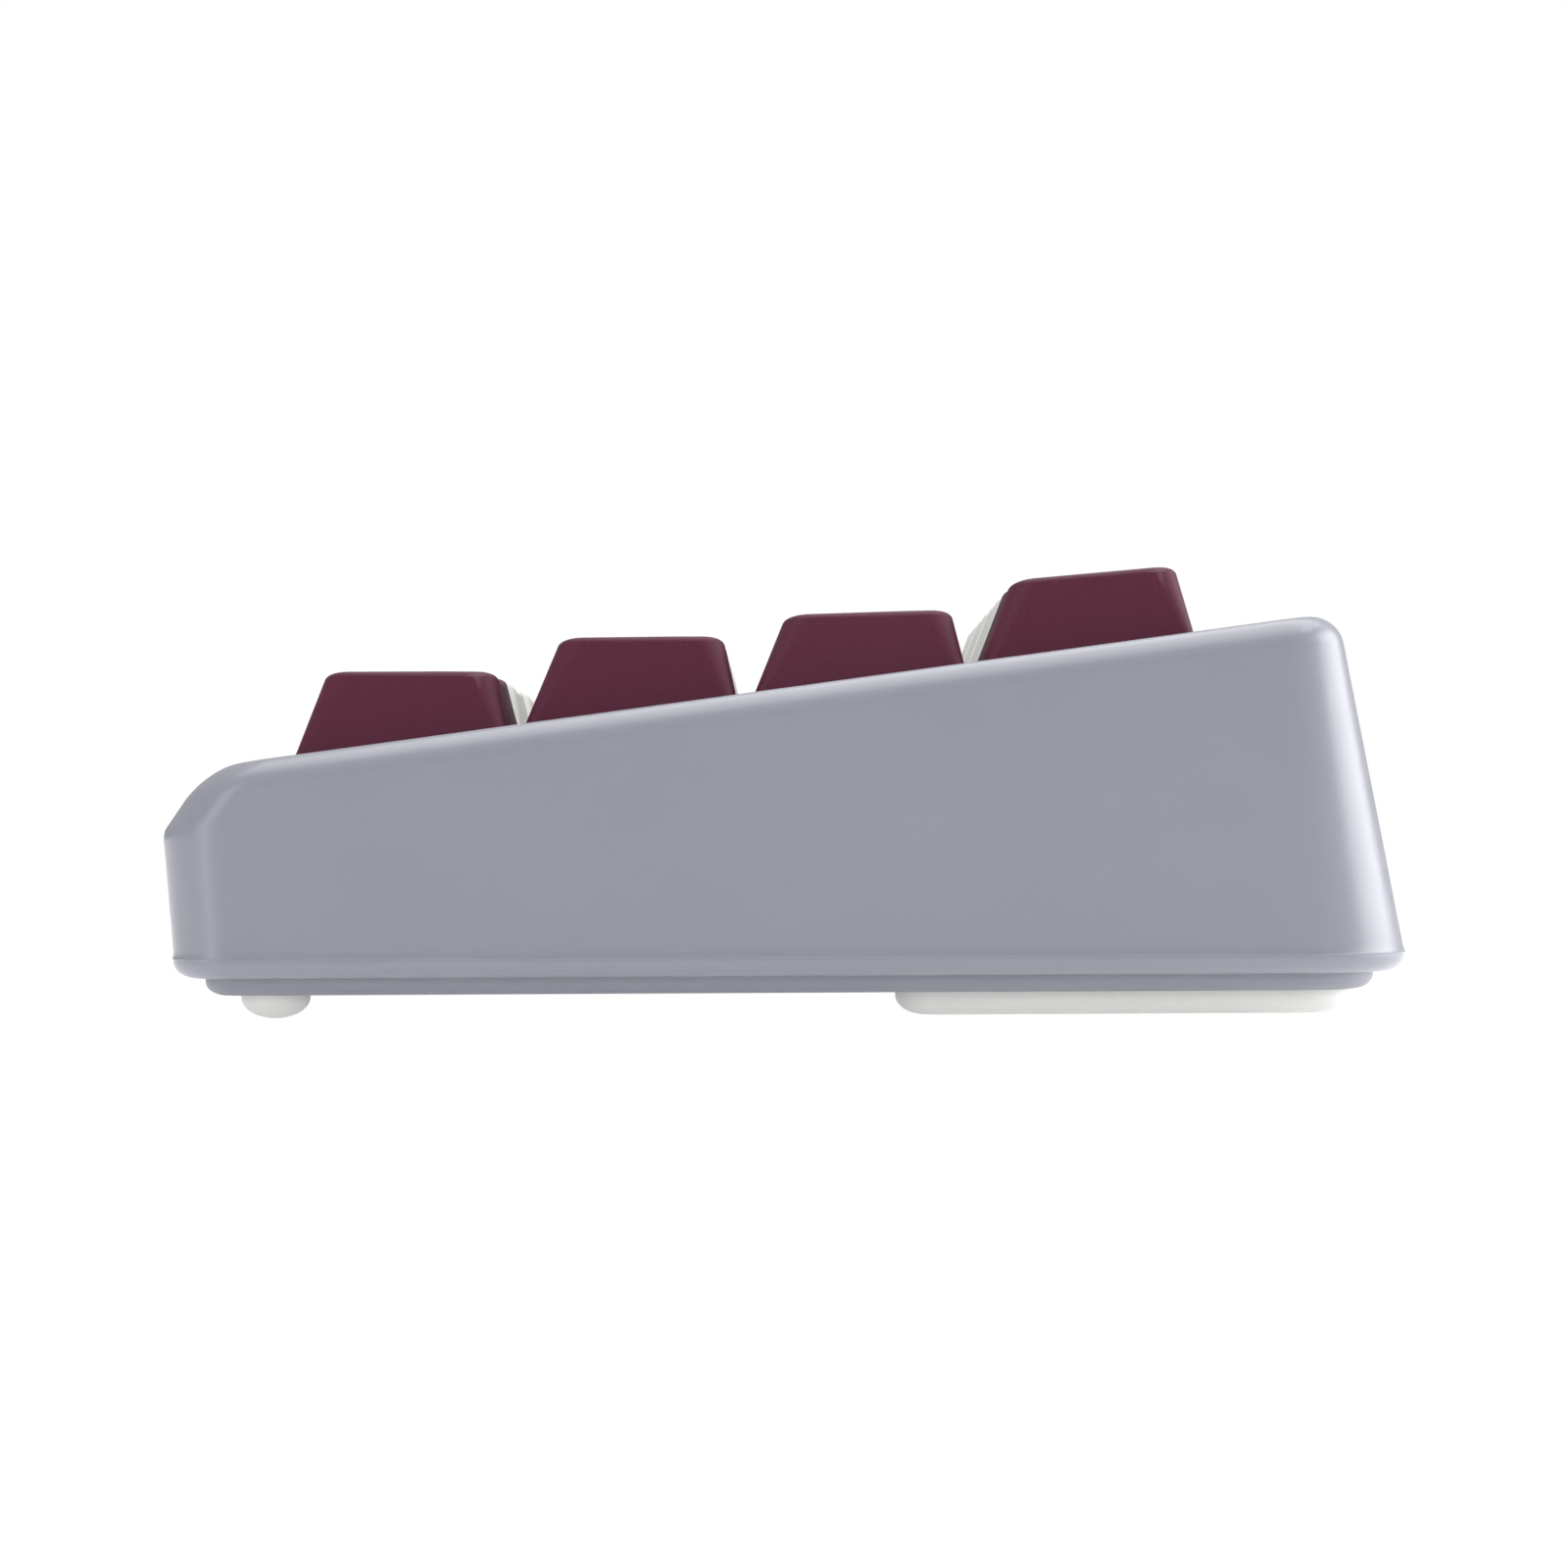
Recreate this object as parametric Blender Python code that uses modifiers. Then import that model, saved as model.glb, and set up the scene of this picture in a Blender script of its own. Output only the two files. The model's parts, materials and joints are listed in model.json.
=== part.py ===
"""Numeric keypad: four by four sprung keys in a wedge-shaped plastic case on rubber feet.

Metres. +X is the user's right, +Y points away from the user and +Z is up. The origin lies on the
table under the middle of the case. The keys, switches, switch plate and circuit board hang from one
empty, the key deck, whose XY plane is the sloping rim of the case and whose Z is the keys' axis.
"""

import math

import bmesh
import bpy
from mathutils import Matrix, Vector

MM = 0.001

# Shared clearances
SEAT_GAP = 0.3 * MM  # between two pieces that rest on each other
SLIDE_GAP = 0.3 * MM  # around a stem in its housing
PRESS_GAP = 0.2 * MM  # around a piece pushed into its socket
OVERSHOOT = 2 * MM  # how far a cutter runs past the face that it opens
ALMOST_ALL = 0.98  # of a half width, as the corner radius of a rounded end

# Key field
COLUMNS = 4
ROWS = 4
PITCH = 19.05 * MM
DECK_TILT = math.radians(7.5)
RIM_HEIGHT = 26.5 * MM  # height of the rim's plane above the table, at Y = 0
FIELD_SHIFT = -3.65 * MM  # middle of the key field, up the slope from Y = 0
KEY_TRAVEL = 4.0 * MM

# Keycaps, each standing on its lower edge at Z = 0
CAP_BASE = 18.1 * MM
CAP_TOP_WIDTH = 11.9 * MM
CAP_SINK = 0.8 * MM  # lower edge of a cap below the rim's plane
CAP_BACK_SLOPE = math.tan(math.radians(4.2))
CAP_BASE_RADIUS = 0.7 * MM
CAP_TOP_RADIUS = 1.8 * MM
CAP_EDGE_RADIUS = 0.7 * MM
CAP_WALL = 1.4 * MM
CAP_TOP_SKIN = 2.34 * MM  # the lowest row's top, from its ceiling to its rim
DISH_DEPTH = 0.6 * MM
CAP_HEIGHTS = [7.05 * MM, 7.32 * MM, 6.74 * MM, 7.32 * MM]  # over the stem, front row first
CAP_FRONT_SLOPES = [math.tan(math.radians(angle)) for angle in (23.2, 28.2, 29.0, 27.8)]
CAP_TILTS = [math.radians(angle) for angle in (8.4, 7.9, 6.7, 3.0)]

# Stems and switch housings, measured from the switch plate's upper face
CAP_LIFT = 6.3 * MM  # lower edge of a resting cap above the plate
HOUSING_TOP = 6.4 * MM
HOUSING_FLOOR = 1.1 * MM
STOP_ROOM = 0.5 * MM  # under a slider that is pressed all the way
FLANGE_WIDTH = 15.6 * MM
FLANGE_THICKNESS = 1.0 * MM
SHOULDER_WIDTH = 14.0 * MM
CROWN_WIDTH = 10.4 * MM
CROWN_DEPTH = 9.6 * MM
SLIDER_WIDTH = 6.8 * MM
SLIDER_DEPTH = 5.8 * MM
SLIDER_HEIGHT = 5.4 * MM
CROSS_SPAN = 4.0 * MM
CROSS_THICKNESS = 1.2 * MM
CROSS_HEIGHT = 3.5 * MM
CAP_POST_RADIUS = 2.8 * MM
PIN_RADIUS = 1.9 * MM
PIN_LENGTH = 3.4 * MM

# Switch plate and circuit board
PLATE_THICKNESS = 1.5 * MM
PLATE_HOLE = 14.0 * MM
PLATE_SEAT = 3.1 * MM  # plate beyond the key well, under the case's sleeve
PLATE_CORNER = 2.0 * MM
BOARD_GAP = 0.4 * MM  # between the housings and the board
BOARD_THICKNESS = 1.6 * MM
BOARD_MARGIN = 10.4 * MM  # board beyond the outer rows' and columns' middles
BOARD_CORNER = 1.5 * MM

# Upper case. The ridge is where the drafted walls meet the upright band along the bottom.
CASE_BOTTOM = 3.35 * MM
RIDGE_HEIGHT = 4.95 * MM
FRONT_BORDER = 8.03 * MM  # from the key well to the outside of the front wall at the ridge
BACK_BORDER = 15.98 * MM
SHOULDER_BULGE = 0.7 * MM  # shoulder in front of the ridge
SHOULDER_DROP = 4.75 * MM  # shoulder below the rim's plane, where the front's bevel starts
RIM_SETBACK = 2.85 * MM  # front of the rim behind the ridge
BACK_SLOPE = math.tan(math.radians(12.1))
SIDE_DRAFT = math.tan(math.radians(1.7))
SIDE_BORDER = 8.75 * MM  # from the key well to the outside of the wall at the ridge
WELL_GAP = 0.8 * MM
WELL_CORNER = 1.6 * MM
FRONT_CORNER = 5.6 * MM
BACK_CORNER_LOW = 9.0 * MM
BACK_CORNER_HIGH = 4.8 * MM
RIM_RADIUS = 2.2 * MM
BOTTOM_REACH = 2.1 * MM  # rounded lower edge, inwards
BOTTOM_RISE = 1.3 * MM  # rounded lower edge, upwards
WALL = 3.0 * MM
RIM_SKIN = 2.4 * MM
SLEEVE_WALL = 1.8 * MM

# Base plate
BASE_BOTTOM = 1.95 * MM
BASE_INSET = 2.65 * MM
BASE_REACH = 1.6 * MM  # rounded lower edge, inwards
BASE_RISE = 1.0 * MM  # rounded lower edge, upwards
BASE_STEP = 1.5 * MM  # raised middle of the base, above the case's lower edge
BASE_POST_RADIUS = 2.2 * MM

# Case screws and the bosses that take them
SCREW_SPREAD = 30.0 * MM
SCREW_RADIUS = 1.25 * MM
SCREW_HEAD_RADIUS = 2.3 * MM
SCREW_HEAD_HEIGHT = 1.3 * MM
SCREW_SOCKET_RADIUS = 0.9 * MM
SCREW_SOCKET_DEPTH = 0.8 * MM
BOSS_RADIUS = 3.1 * MM
BOSS_ROOT = 0.55 * MM  # how far a boss reaches into the wall behind it
BOSS_CAP = 1.1 * MM
BOSS_GAP = 0.7 * MM  # between the front boss and the switch plate above it

# Rubber feet, pressed into pockets of the base plate
FOOT_POCKET = 0.8 * MM
FOOT_RIM = 0.3 * MM  # upright part of a foot below the base plate
DOME_RADIUS = 2.8 * MM
DOME_INSET = 7.2 * MM  # middle of a front foot from the case's side
DOME_SETBACK = 8.1 * MM  # middle of a front foot from the case's front
BAR_LENGTH = 37.0 * MM
BAR_WIDTH = 8.0 * MM
BAR_INSET = 8.7 * MM
BAR_SETBACK = 4.7 * MM
BAR_RADIUS = 1.1 * MM

# USB-C receptacle
USB_WIDTH = 8.94 * MM
USB_HEIGHT = 3.2 * MM
USB_DEPTH = 7.3 * MM
USB_SHELL = 0.35 * MM
USB_BACK = 1.0 * MM
TONGUE_WIDTH = 6.6 * MM
TONGUE_THICKNESS = 0.7 * MM
TONGUE_LENGTH = 4.6 * MM
USB_OVERHANG = 0.8 * MM
PORT_WIDTH = 13.0 * MM
PORT_HEIGHT = 7.2 * MM

# How finely round shapes are cut
CASE_CORNER_STEPS = 6
CAP_CORNER_STEPS = 3
SMALL_CORNER_STEPS = 2
END_STEPS = 4
RIM_STEPS = 4
EDGE_STEPS = 2
FOOT_STEPS = 3
ROUND_SIDES = 16
POST_SIDES = 12
PIN_SIDES = 8
HEXAGON = 6
DOME_STEPS = 5
DISH_SIDES = 96
SMOOTH_ANGLE = math.radians(35)

# Key names, front row first and left to right in each row
KEY_NAMES = [
    ["0", "point", "equals", "plus"],
    ["1", "2", "3", "minus"],
    ["4", "5", "6", "times"],
    ["7", "8", "9", "divide"],
]

# Worked out from the sizes above
FIELD_HALF_X = (COLUMNS - 1) * PITCH / 2
FIELD_HALF_Y = (ROWS - 1) * PITCH / 2
WELL_HALF_X = FIELD_HALF_X + CAP_BASE / 2 + WELL_GAP
WELL_HALF_Y = FIELD_HALF_Y + CAP_BASE / 2 + WELL_GAP
CASE_HALF_X = WELL_HALF_X + SIDE_BORDER
RIDGE_FRONT = (FIELD_SHIFT - WELL_HALF_Y) * math.cos(DECK_TILT) - FRONT_BORDER
RIDGE_BACK = (FIELD_SHIFT + WELL_HALF_Y) * math.cos(DECK_TILT) + BACK_BORDER
SHOULDER_FRONT = RIDGE_FRONT - SHOULDER_BULGE
RIM_FRONT = RIDGE_FRONT + RIM_SETBACK
DECK_RISE = math.tan(DECK_TILT)
PLATE_LEVEL = -CAP_SINK - CAP_LIFT
SLIDER_ROOM = KEY_TRAVEL + STOP_ROOM + SLIDER_HEIGHT  # depth of the shaft in a housing
HOUSING_DEPTH = SLIDER_ROOM + HOUSING_FLOOR - HOUSING_TOP  # housing below the plate's upper face
BOARD_LEVEL = PLATE_LEVEL - HOUSING_DEPTH - BOARD_GAP
BOARD_HOLE_RADIUS = PIN_RADIUS + SEAT_GAP
CAP_CEILING = min(CAP_HEIGHTS) - CAP_TOP_SKIN
BASE_TOP = CASE_BOTTOM + BASE_STEP
BOSS_BOTTOM = BASE_TOP + SEAT_GAP
PLATE_FRONT = FIELD_SHIFT - WELL_HALF_Y - PLATE_SEAT
PLATE_LOWEST = (
    RIM_HEIGHT + PLATE_FRONT * math.sin(DECK_TILT) + (PLATE_LEVEL - PLATE_THICKNESS) * math.cos(DECK_TILT)
)
BOSS_TOP = PLATE_LOWEST - BOSS_GAP
SCREW_TIP = BOSS_TOP - BOSS_CAP - SEAT_GAP
SCREW_HEAD_BASE = BASE_BOTTOM + SEAT_GAP
SCREW_LENGTH = SCREW_TIP - SCREW_HEAD_BASE - SCREW_HEAD_HEIGHT


def clear_scene():
    for obj in list(bpy.data.objects):
        bpy.data.objects.remove(obj, do_unlink=True)


def new_collection(name, hidden=False):
    collection = bpy.data.collections.new(name)
    collection.hide_render = hidden
    bpy.context.scene.collection.children.link(collection)
    return collection


def new_material(name, color, roughness, metallic=0.0):
    material = bpy.data.materials.new(name)
    material.use_nodes = True
    shader = material.node_tree.nodes["Principled BSDF"]
    shader.inputs["Base Color"].default_value = (*color, 1.0)
    shader.inputs["Roughness"].default_value = roughness
    shader.inputs["Metallic"].default_value = metallic
    material.diffuse_color = (*color, 1.0)
    return material


clear_scene()
PARTS = new_collection("numeric_keypad")
CUTTERS = new_collection("cutters", hidden=True)
MATERIALS = {
    "case": new_material("case", (0.36, 0.37, 0.43), 0.45),
    "cap_plum": new_material("cap_plum", (0.10, 0.022, 0.05), 0.6),
    "cap_white": new_material("cap_white", (0.78, 0.78, 0.76), 0.6),
    "stem": new_material("stem", (0.55, 0.06, 0.05), 0.4),
    "housing": new_material("housing", (0.03, 0.03, 0.035), 0.45),
    "plate": new_material("plate", (0.55, 0.56, 0.58), 0.35, metallic=1.0),
    "board": new_material("board", (0.02, 0.09, 0.05), 0.5),
    "rubber": new_material("rubber", (0.72, 0.72, 0.69), 0.8),
    "steel": new_material("steel", (0.56, 0.56, 0.57), 0.3, metallic=1.0),
}


def outline(half_x, front, back, front_radius, back_radius, steps):
    """(x, y) points of a rectangle with round corners, anticlockwise from the front right."""
    corners = [
        (half_x, front, front_radius, 1, 1, -90),
        (half_x, back, back_radius, 1, -1, 0),
        (-half_x, back, back_radius, -1, -1, 90),
        (-half_x, front, front_radius, -1, 1, 180),
    ]
    points = []
    for x, y, radius, side_x, side_y, start in corners:
        for step in range(steps + 1):
            angle = math.radians(start + 90 * step / steps)
            centre_x = x - side_x * radius
            centre_y = y + side_y * radius
            points.append((centre_x + radius * math.cos(angle), centre_y + radius * math.sin(angle)))
    return points


def box_outline(half_x, half_y, radius, steps=SMALL_CORNER_STEPS):
    return outline(half_x, -half_y, half_y, radius, radius, steps)


def rectangle(half_x, half_y):
    return [(half_x, -half_y), (half_x, half_y), (-half_x, half_y), (-half_x, -half_y)]


def circle(radius, sides, centre=(0, 0)):
    turns = [2 * math.pi * side / sides for side in range(sides)]
    return [(centre[0] + radius * math.cos(turn), centre[1] + radius * math.sin(turn)) for turn in turns]


def level_ring(points, height):
    return [Vector((x, y, height)) for x, y in points]


def drafted(ring, draft, base_height):
    """The ring with its left and right sides drawn in as they rise above base_height."""
    return [Vector((p.x - math.copysign(draft, p.x) * (p.z - base_height), p.y, p.z)) for p in ring]


def loft(rings, name):
    """A closed mesh through rings of equally many points, lowest first."""
    mesh = bmesh.new()
    loops = [[mesh.verts.new(point) for point in ring] for ring in rings]
    for lower, upper in zip(loops, loops[1:]):
        for index in range(len(lower)):
            following = (index + 1) % len(lower)
            mesh.faces.new((lower[index], lower[following], upper[following], upper[index]))
    mesh.faces.new(reversed(loops[0]))
    mesh.faces.new(loops[-1])
    return finished(mesh, name)


def between(ring, other, share):
    return [point.lerp(target, share) for point, target in zip(ring, other)]


def round_over(start, corner, end, steps):
    """Rings from start to end that round off the edge at corner, along an arc at every point."""
    pull = math.cos(math.pi / 4)
    rings = []
    for step in range(steps + 1):
        along = step / steps
        first, middle, last = (1 - along) ** 2, 2 * along * (1 - along) * pull, along**2
        total = first + middle + last
        rings.append([(a * first + b * middle + c * last) / total for a, b, c in zip(start, corner, end)])
    return rings


def finished(mesh, name):
    data = bpy.data.meshes.new(name)
    mesh.to_mesh(data)
    mesh.free()
    return data


def prism(points, low, high, name="prism"):
    return loft([level_ring(points, low), level_ring(points, high)], name)


def boxes(sizes_and_centres):
    """One mesh of separate boxes, each given as ((size_x, size_y, size_z), centre)."""
    mesh = bmesh.new()
    for size, centre in sizes_and_centres:
        place = Matrix.Translation(centre) @ Matrix.Diagonal((*size, 1))
        bmesh.ops.create_cube(mesh, size=1, matrix=place)
    return finished(mesh, "boxes")


def helper(name, data, parent=None, matrix=None):
    """A cutter, or a shape that is joined to a part, which isn't a part of its own."""
    obj = bpy.data.objects.new(name, data)
    CUTTERS.objects.link(obj)
    obj.hide_render = True
    obj.display_type = "WIRE"
    obj.parent = parent
    if matrix is not None:
        obj.matrix_local = matrix
    return obj


def part(name, data, material, parent=None, location=(0, 0, 0)):
    obj = bpy.data.objects.new(name, data)
    PARTS.objects.link(obj)
    obj.parent = parent
    obj.location = location
    if not data.materials:
        data.materials.append(MATERIALS[material])
    obj.material_slots[0].link = "OBJECT"
    obj.material_slots[0].material = MATERIALS[material]
    return obj


def combine(obj, other, operation):
    modifier = obj.modifiers.new(f"{operation.lower()}_{other.name}", "BOOLEAN")
    modifier.object = other
    modifier.operation = operation


def baked(base, steps, name):
    """The mesh of base after (mesh, operation) steps, so that copies can share it."""
    body = helper(f"{name}_blank", base)
    for index, (data, operation) in enumerate(steps):
        combine(body, helper(f"{name}_step_{index}", data), operation)
    bpy.context.view_layer.update()
    graph = bpy.context.evaluated_depsgraph_get()
    result = bpy.data.meshes.new_from_object(body.evaluated_get(graph))
    result.name = name
    for obj in [modifier.object for modifier in body.modifiers] + [body]:
        bpy.data.objects.remove(obj, do_unlink=True)
    result.shade_smooth()
    result.set_sharp_from_angle(angle=SMOOTH_ANGLE)
    return result


def turned(profile, sides, name):
    """A solid of revolution about Z, from (radius, height) points that run down its outer side."""
    data = bpy.data.meshes.new(name)
    edges = [(index, index + 1) for index in range(len(profile) - 1)]
    data.from_pydata([(radius, 0, height) for radius, height in profile], edges, [])
    line = helper(f"{name}_profile", data)
    screw = line.modifiers.new("turn", "SCREW")
    screw.axis = "Z"
    screw.steps = sides
    screw.render_steps = sides
    screw.use_merge_vertices = True
    screw.merge_threshold = MM / 100
    bpy.context.view_layer.update()
    result = bpy.data.meshes.new_from_object(line.evaluated_get(bpy.context.evaluated_depsgraph_get()))
    result.name = name
    bpy.data.objects.remove(line, do_unlink=True)
    return result


def smooth(obj):
    obj.data.shade_smooth()
    obj.data.set_sharp_from_angle(angle=SMOOTH_ANGLE)


def flat_piece(name, outlines, low, high, material, parent=None):
    """A flat part cut along closed outlines, of which all but the first are holes."""
    curve = bpy.data.curves.new(name, "CURVE")
    curve.dimensions = "2D"
    curve.fill_mode = "BOTH"
    curve.extrude = (high - low) / 2
    for points in outlines:
        spline = curve.splines.new("POLY")
        spline.points.add(len(points) - 1)
        for point, (x, y) in zip(spline.points, points):
            point.co = (x, y, 0, 1)
        spline.use_cyclic_u = True
    part(name, curve, material, parent, (0, 0, (low + high) / 2))


def key_place(row, column):
    """Middle of a key on the deck, from the deck's own origin."""
    return column * PITCH - FIELD_HALF_X, FIELD_SHIFT + row * PITCH - FIELD_HALF_Y


def key_places():
    return [key_place(row, column) for row in range(ROWS) for column in range(COLUMNS)]


def shifted(points, x, y):
    return [(px + x, py + y) for px, py in points]


# Case outlines: each gives the case's outer surface, drawn in by inset all round.


def ridge_ring(height, inset=0.0):
    points = outline(
        CASE_HALF_X - inset,
        RIDGE_FRONT + inset,
        RIDGE_BACK - inset,
        FRONT_CORNER - inset,
        BACK_CORNER_LOW - inset,
        CASE_CORNER_STEPS,
    )
    return level_ring(points, height)


def back_of_case(plane_height):
    """Y where the back wall meets the plane that has the rim's slope and this height at Y = 0."""
    run = BACK_SLOPE * (plane_height - RIDGE_HEIGHT)
    return (RIDGE_BACK - run) / (1 + BACK_SLOPE * DECK_RISE)


def sloping_ring(front, plane_height, back_corner, inset=0.0):
    """A ring on a plane that is parallel to the rim."""
    points = outline(
        CASE_HALF_X - inset,
        front + inset,
        back_of_case(plane_height) - inset,
        FRONT_CORNER - inset,
        back_corner - inset,
        CASE_CORNER_STEPS,
    )
    ring = [Vector((x, y, plane_height + y * DECK_RISE)) for x, y in points]
    return drafted(ring, SIDE_DRAFT, RIDGE_HEIGHT)


def shoulder_corner():
    """Radius of the back corners at the shoulder, between those at the ridge and at the rim."""
    rim_share = 1 - SHOULDER_DROP / (RIM_HEIGHT - RIDGE_HEIGHT)
    return BACK_CORNER_LOW + (BACK_CORNER_HIGH - BACK_CORNER_LOW) * rim_share


def rounded_foot(low, reach, rise, inset=0.0):
    """Rings that round off the lower edge of the case's outline, from its underside upwards."""
    under = ridge_ring(low, inset + reach)
    edge = ridge_ring(low, inset)
    side = ridge_ring(low + rise, inset)
    return round_over(under, edge, side, FOOT_STEPS)


def case_blank():
    shoulder = sloping_ring(SHOULDER_FRONT, RIM_HEIGHT - SHOULDER_DROP, shoulder_corner())
    rim = sloping_ring(RIM_FRONT, RIM_HEIGHT, BACK_CORNER_HIGH)
    rim_inside = sloping_ring(RIM_FRONT, RIM_HEIGHT, BACK_CORNER_HIGH, RIM_RADIUS)
    rings = rounded_foot(CASE_BOTTOM, BOTTOM_REACH, BOTTOM_RISE)
    rings += [ridge_ring(RIDGE_HEIGHT), shoulder]
    rings += round_over(between(rim, shoulder, RIM_RADIUS / SHOULDER_DROP), rim, rim_inside, RIM_STEPS)
    return loft(rings, "upper_case")


def case_cavity():
    skin_drop = RIM_SKIN / math.cos(DECK_TILT)
    rings = [
        ridge_ring(CASE_BOTTOM - OVERSHOOT, WALL),
        ridge_ring(RIDGE_HEIGHT, WALL),
        sloping_ring(SHOULDER_FRONT, RIM_HEIGHT - SHOULDER_DROP - skin_drop / 2, shoulder_corner(), WALL),
        sloping_ring(RIM_FRONT, RIM_HEIGHT - skin_drop, BACK_CORNER_HIGH, WALL),
    ]
    return loft(rings, "case_cavity")


def screw_places():
    """Axes of the case screws: one at the front and two at the back, each beside its wall."""
    reach = BOSS_RADIUS - BOSS_ROOT
    front = max(RIDGE_FRONT, SHOULDER_FRONT) + WALL + reach
    back = RIDGE_BACK - BACK_SLOPE * (BOSS_TOP - RIDGE_HEIGHT) - WALL - reach + BOSS_ROOT
    return {"front": (0.0, front), "back_left": (-SCREW_SPREAD, back), "back_right": (SCREW_SPREAD, back)}


def round_pegs(radius, low, high, sides=ROUND_SIDES):
    """One mesh of upright cylinders on the case screws' axes."""
    mesh = bmesh.new()
    for x, y in screw_places().values():
        place = Matrix.Translation((x, y, (low + high) / 2))
        bmesh.ops.create_cone(
            mesh, cap_ends=True, segments=sides, radius1=radius, radius2=radius, depth=high - low, matrix=place
        )
    return finished(mesh, "round_pegs")


def port_place():
    """(y, z) on the deck of the receptacle's mouth, just inside the back wall."""
    level = BOARD_LEVEL + SEAT_GAP + USB_HEIGHT / 2
    plane_height = RIM_HEIGHT + level / math.cos(DECK_TILT)
    wall_y = back_of_case(plane_height) - WALL / math.cos(math.atan(BACK_SLOPE))
    slope_y = (wall_y + level * math.sin(DECK_TILT)) / math.cos(DECK_TILT)
    return slope_y - SEAT_GAP, level


def port_prism(half_width, half_height, front, back, name):
    """A rounded prism on the deck that runs along the receptacle's axis."""
    _, level = port_place()
    corner = half_height * ALMOST_ALL
    data = prism(box_outline(half_width, half_height, corner, END_STEPS), front, back, name)
    lay_down = Matrix(((-1, 0, 0, 0), (0, 0, 1, 0), (0, 1, 0, level), (0, 0, 0, 1)))
    data.transform(lay_down)
    return data


def make_upper_case(deck):
    case = part("upper_case", case_blank(), "case")
    combine(case, helper("case_cavity", case_cavity()), "DIFFERENCE")
    sleeve = prism(
        box_outline(WELL_HALF_X + SLEEVE_WALL, WELL_HALF_Y + SLEEVE_WALL, WELL_CORNER + SLEEVE_WALL),
        PLATE_LEVEL + SEAT_GAP,
        -RIM_SKIN / 2,
        "well_sleeve",
    )
    on_field = Matrix.Translation((0, FIELD_SHIFT, 0))
    combine(case, helper("well_sleeve", sleeve, deck, on_field), "UNION")
    bosses = round_pegs(BOSS_RADIUS, BOSS_BOTTOM, BOSS_TOP)
    combine(case, helper("screw_bosses", bosses), "UNION")
    well = prism(box_outline(WELL_HALF_X, WELL_HALF_Y, WELL_CORNER), PLATE_LEVEL - OVERSHOOT, OVERSHOOT, "key_well")
    combine(case, helper("key_well", well, deck, on_field), "DIFFERENCE")
    bores = round_pegs(SCREW_RADIUS + SEAT_GAP, BOSS_BOTTOM - OVERSHOOT, SCREW_TIP + SEAT_GAP, PIN_SIDES)
    combine(case, helper("screw_bores", bores), "DIFFERENCE")
    mouth, _ = port_place()
    port = port_prism(PORT_WIDTH / 2, PORT_HEIGHT / 2, mouth - OVERSHOOT, mouth + WALL + 2 * OVERSHOOT, "usb_port")
    combine(case, helper("usb_port", port, deck), "DIFFERENCE")
    smooth(case)


def foot_places():
    """Middle of each right-hand foot on the base plate."""
    dome = (CASE_HALF_X - DOME_INSET, RIDGE_FRONT + DOME_SETBACK)
    bar = (CASE_HALF_X - BAR_INSET, RIDGE_BACK - BAR_SETBACK - BAR_LENGTH / 2)
    return dome, bar


def bar_outline(growth=0.0):
    half_x = BAR_WIDTH / 2 + growth
    return box_outline(half_x, BAR_LENGTH / 2 + growth, half_x * ALMOST_ALL, END_STEPS)


def foot_pockets():
    mesh = bmesh.new()
    (dome_x, dome_y), (bar_x, bar_y) = foot_places()
    ceiling = BASE_BOTTOM + FOOT_POCKET
    for side in (1, -1):
        for points in (
            shifted(circle(DOME_RADIUS + SEAT_GAP, ROUND_SIDES), side * dome_x, dome_y),
            shifted(bar_outline(SEAT_GAP), side * bar_x, bar_y),
        ):
            mesh.from_mesh(prism(points, BASE_BOTTOM - OVERSHOOT, ceiling))
    return finished(mesh, "foot_pockets")


def base_posts():
    """Four posts that hold the board up, each ending just under its lowest point there."""
    mesh = bmesh.new()
    slope_x = PITCH
    board_under = BOARD_LEVEL - BOARD_THICKNESS - SEAT_GAP
    for slope_y in (FIELD_SHIFT - PITCH, FIELD_SHIFT + PITCH):
        y = slope_y * math.cos(DECK_TILT) - board_under * math.sin(DECK_TILT)
        z = RIM_HEIGHT + slope_y * math.sin(DECK_TILT) + board_under * math.cos(DECK_TILT)
        top = z - BASE_POST_RADIUS * DECK_RISE
        for side in (1, -1):
            points = circle(BASE_POST_RADIUS, PIN_SIDES, (side * slope_x, y))
            mesh.from_mesh(prism(points, BASE_TOP - BASE_STEP / 2, top))
    return finished(mesh, "base_posts")


def make_base_plate():
    rim_height = CASE_BOTTOM - SEAT_GAP
    rings = rounded_foot(BASE_BOTTOM, BASE_REACH, BASE_RISE, BASE_INSET)
    rings += [
        ridge_ring(rim_height, BASE_INSET),
        ridge_ring(rim_height, WALL + SEAT_GAP),
        ridge_ring(BASE_TOP, WALL + SEAT_GAP),
    ]
    base = part("base_plate", loft(rings, "base_plate"), "case")
    combine(base, helper("base_posts", base_posts()), "UNION")
    combine(base, helper("foot_pockets", foot_pockets()), "DIFFERENCE")
    head_room = SCREW_HEAD_BASE + SCREW_HEAD_HEIGHT + SEAT_GAP
    wells = round_pegs(SCREW_HEAD_RADIUS + SEAT_GAP, BASE_BOTTOM - OVERSHOOT, head_room)
    combine(base, helper("screw_wells", wells), "DIFFERENCE")
    holes = round_pegs(SCREW_RADIUS + SEAT_GAP, BASE_BOTTOM - OVERSHOOT, BASE_TOP + OVERSHOOT, PIN_SIDES)
    combine(base, helper("screw_holes", holes), "DIFFERENCE")
    smooth(base)


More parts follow.
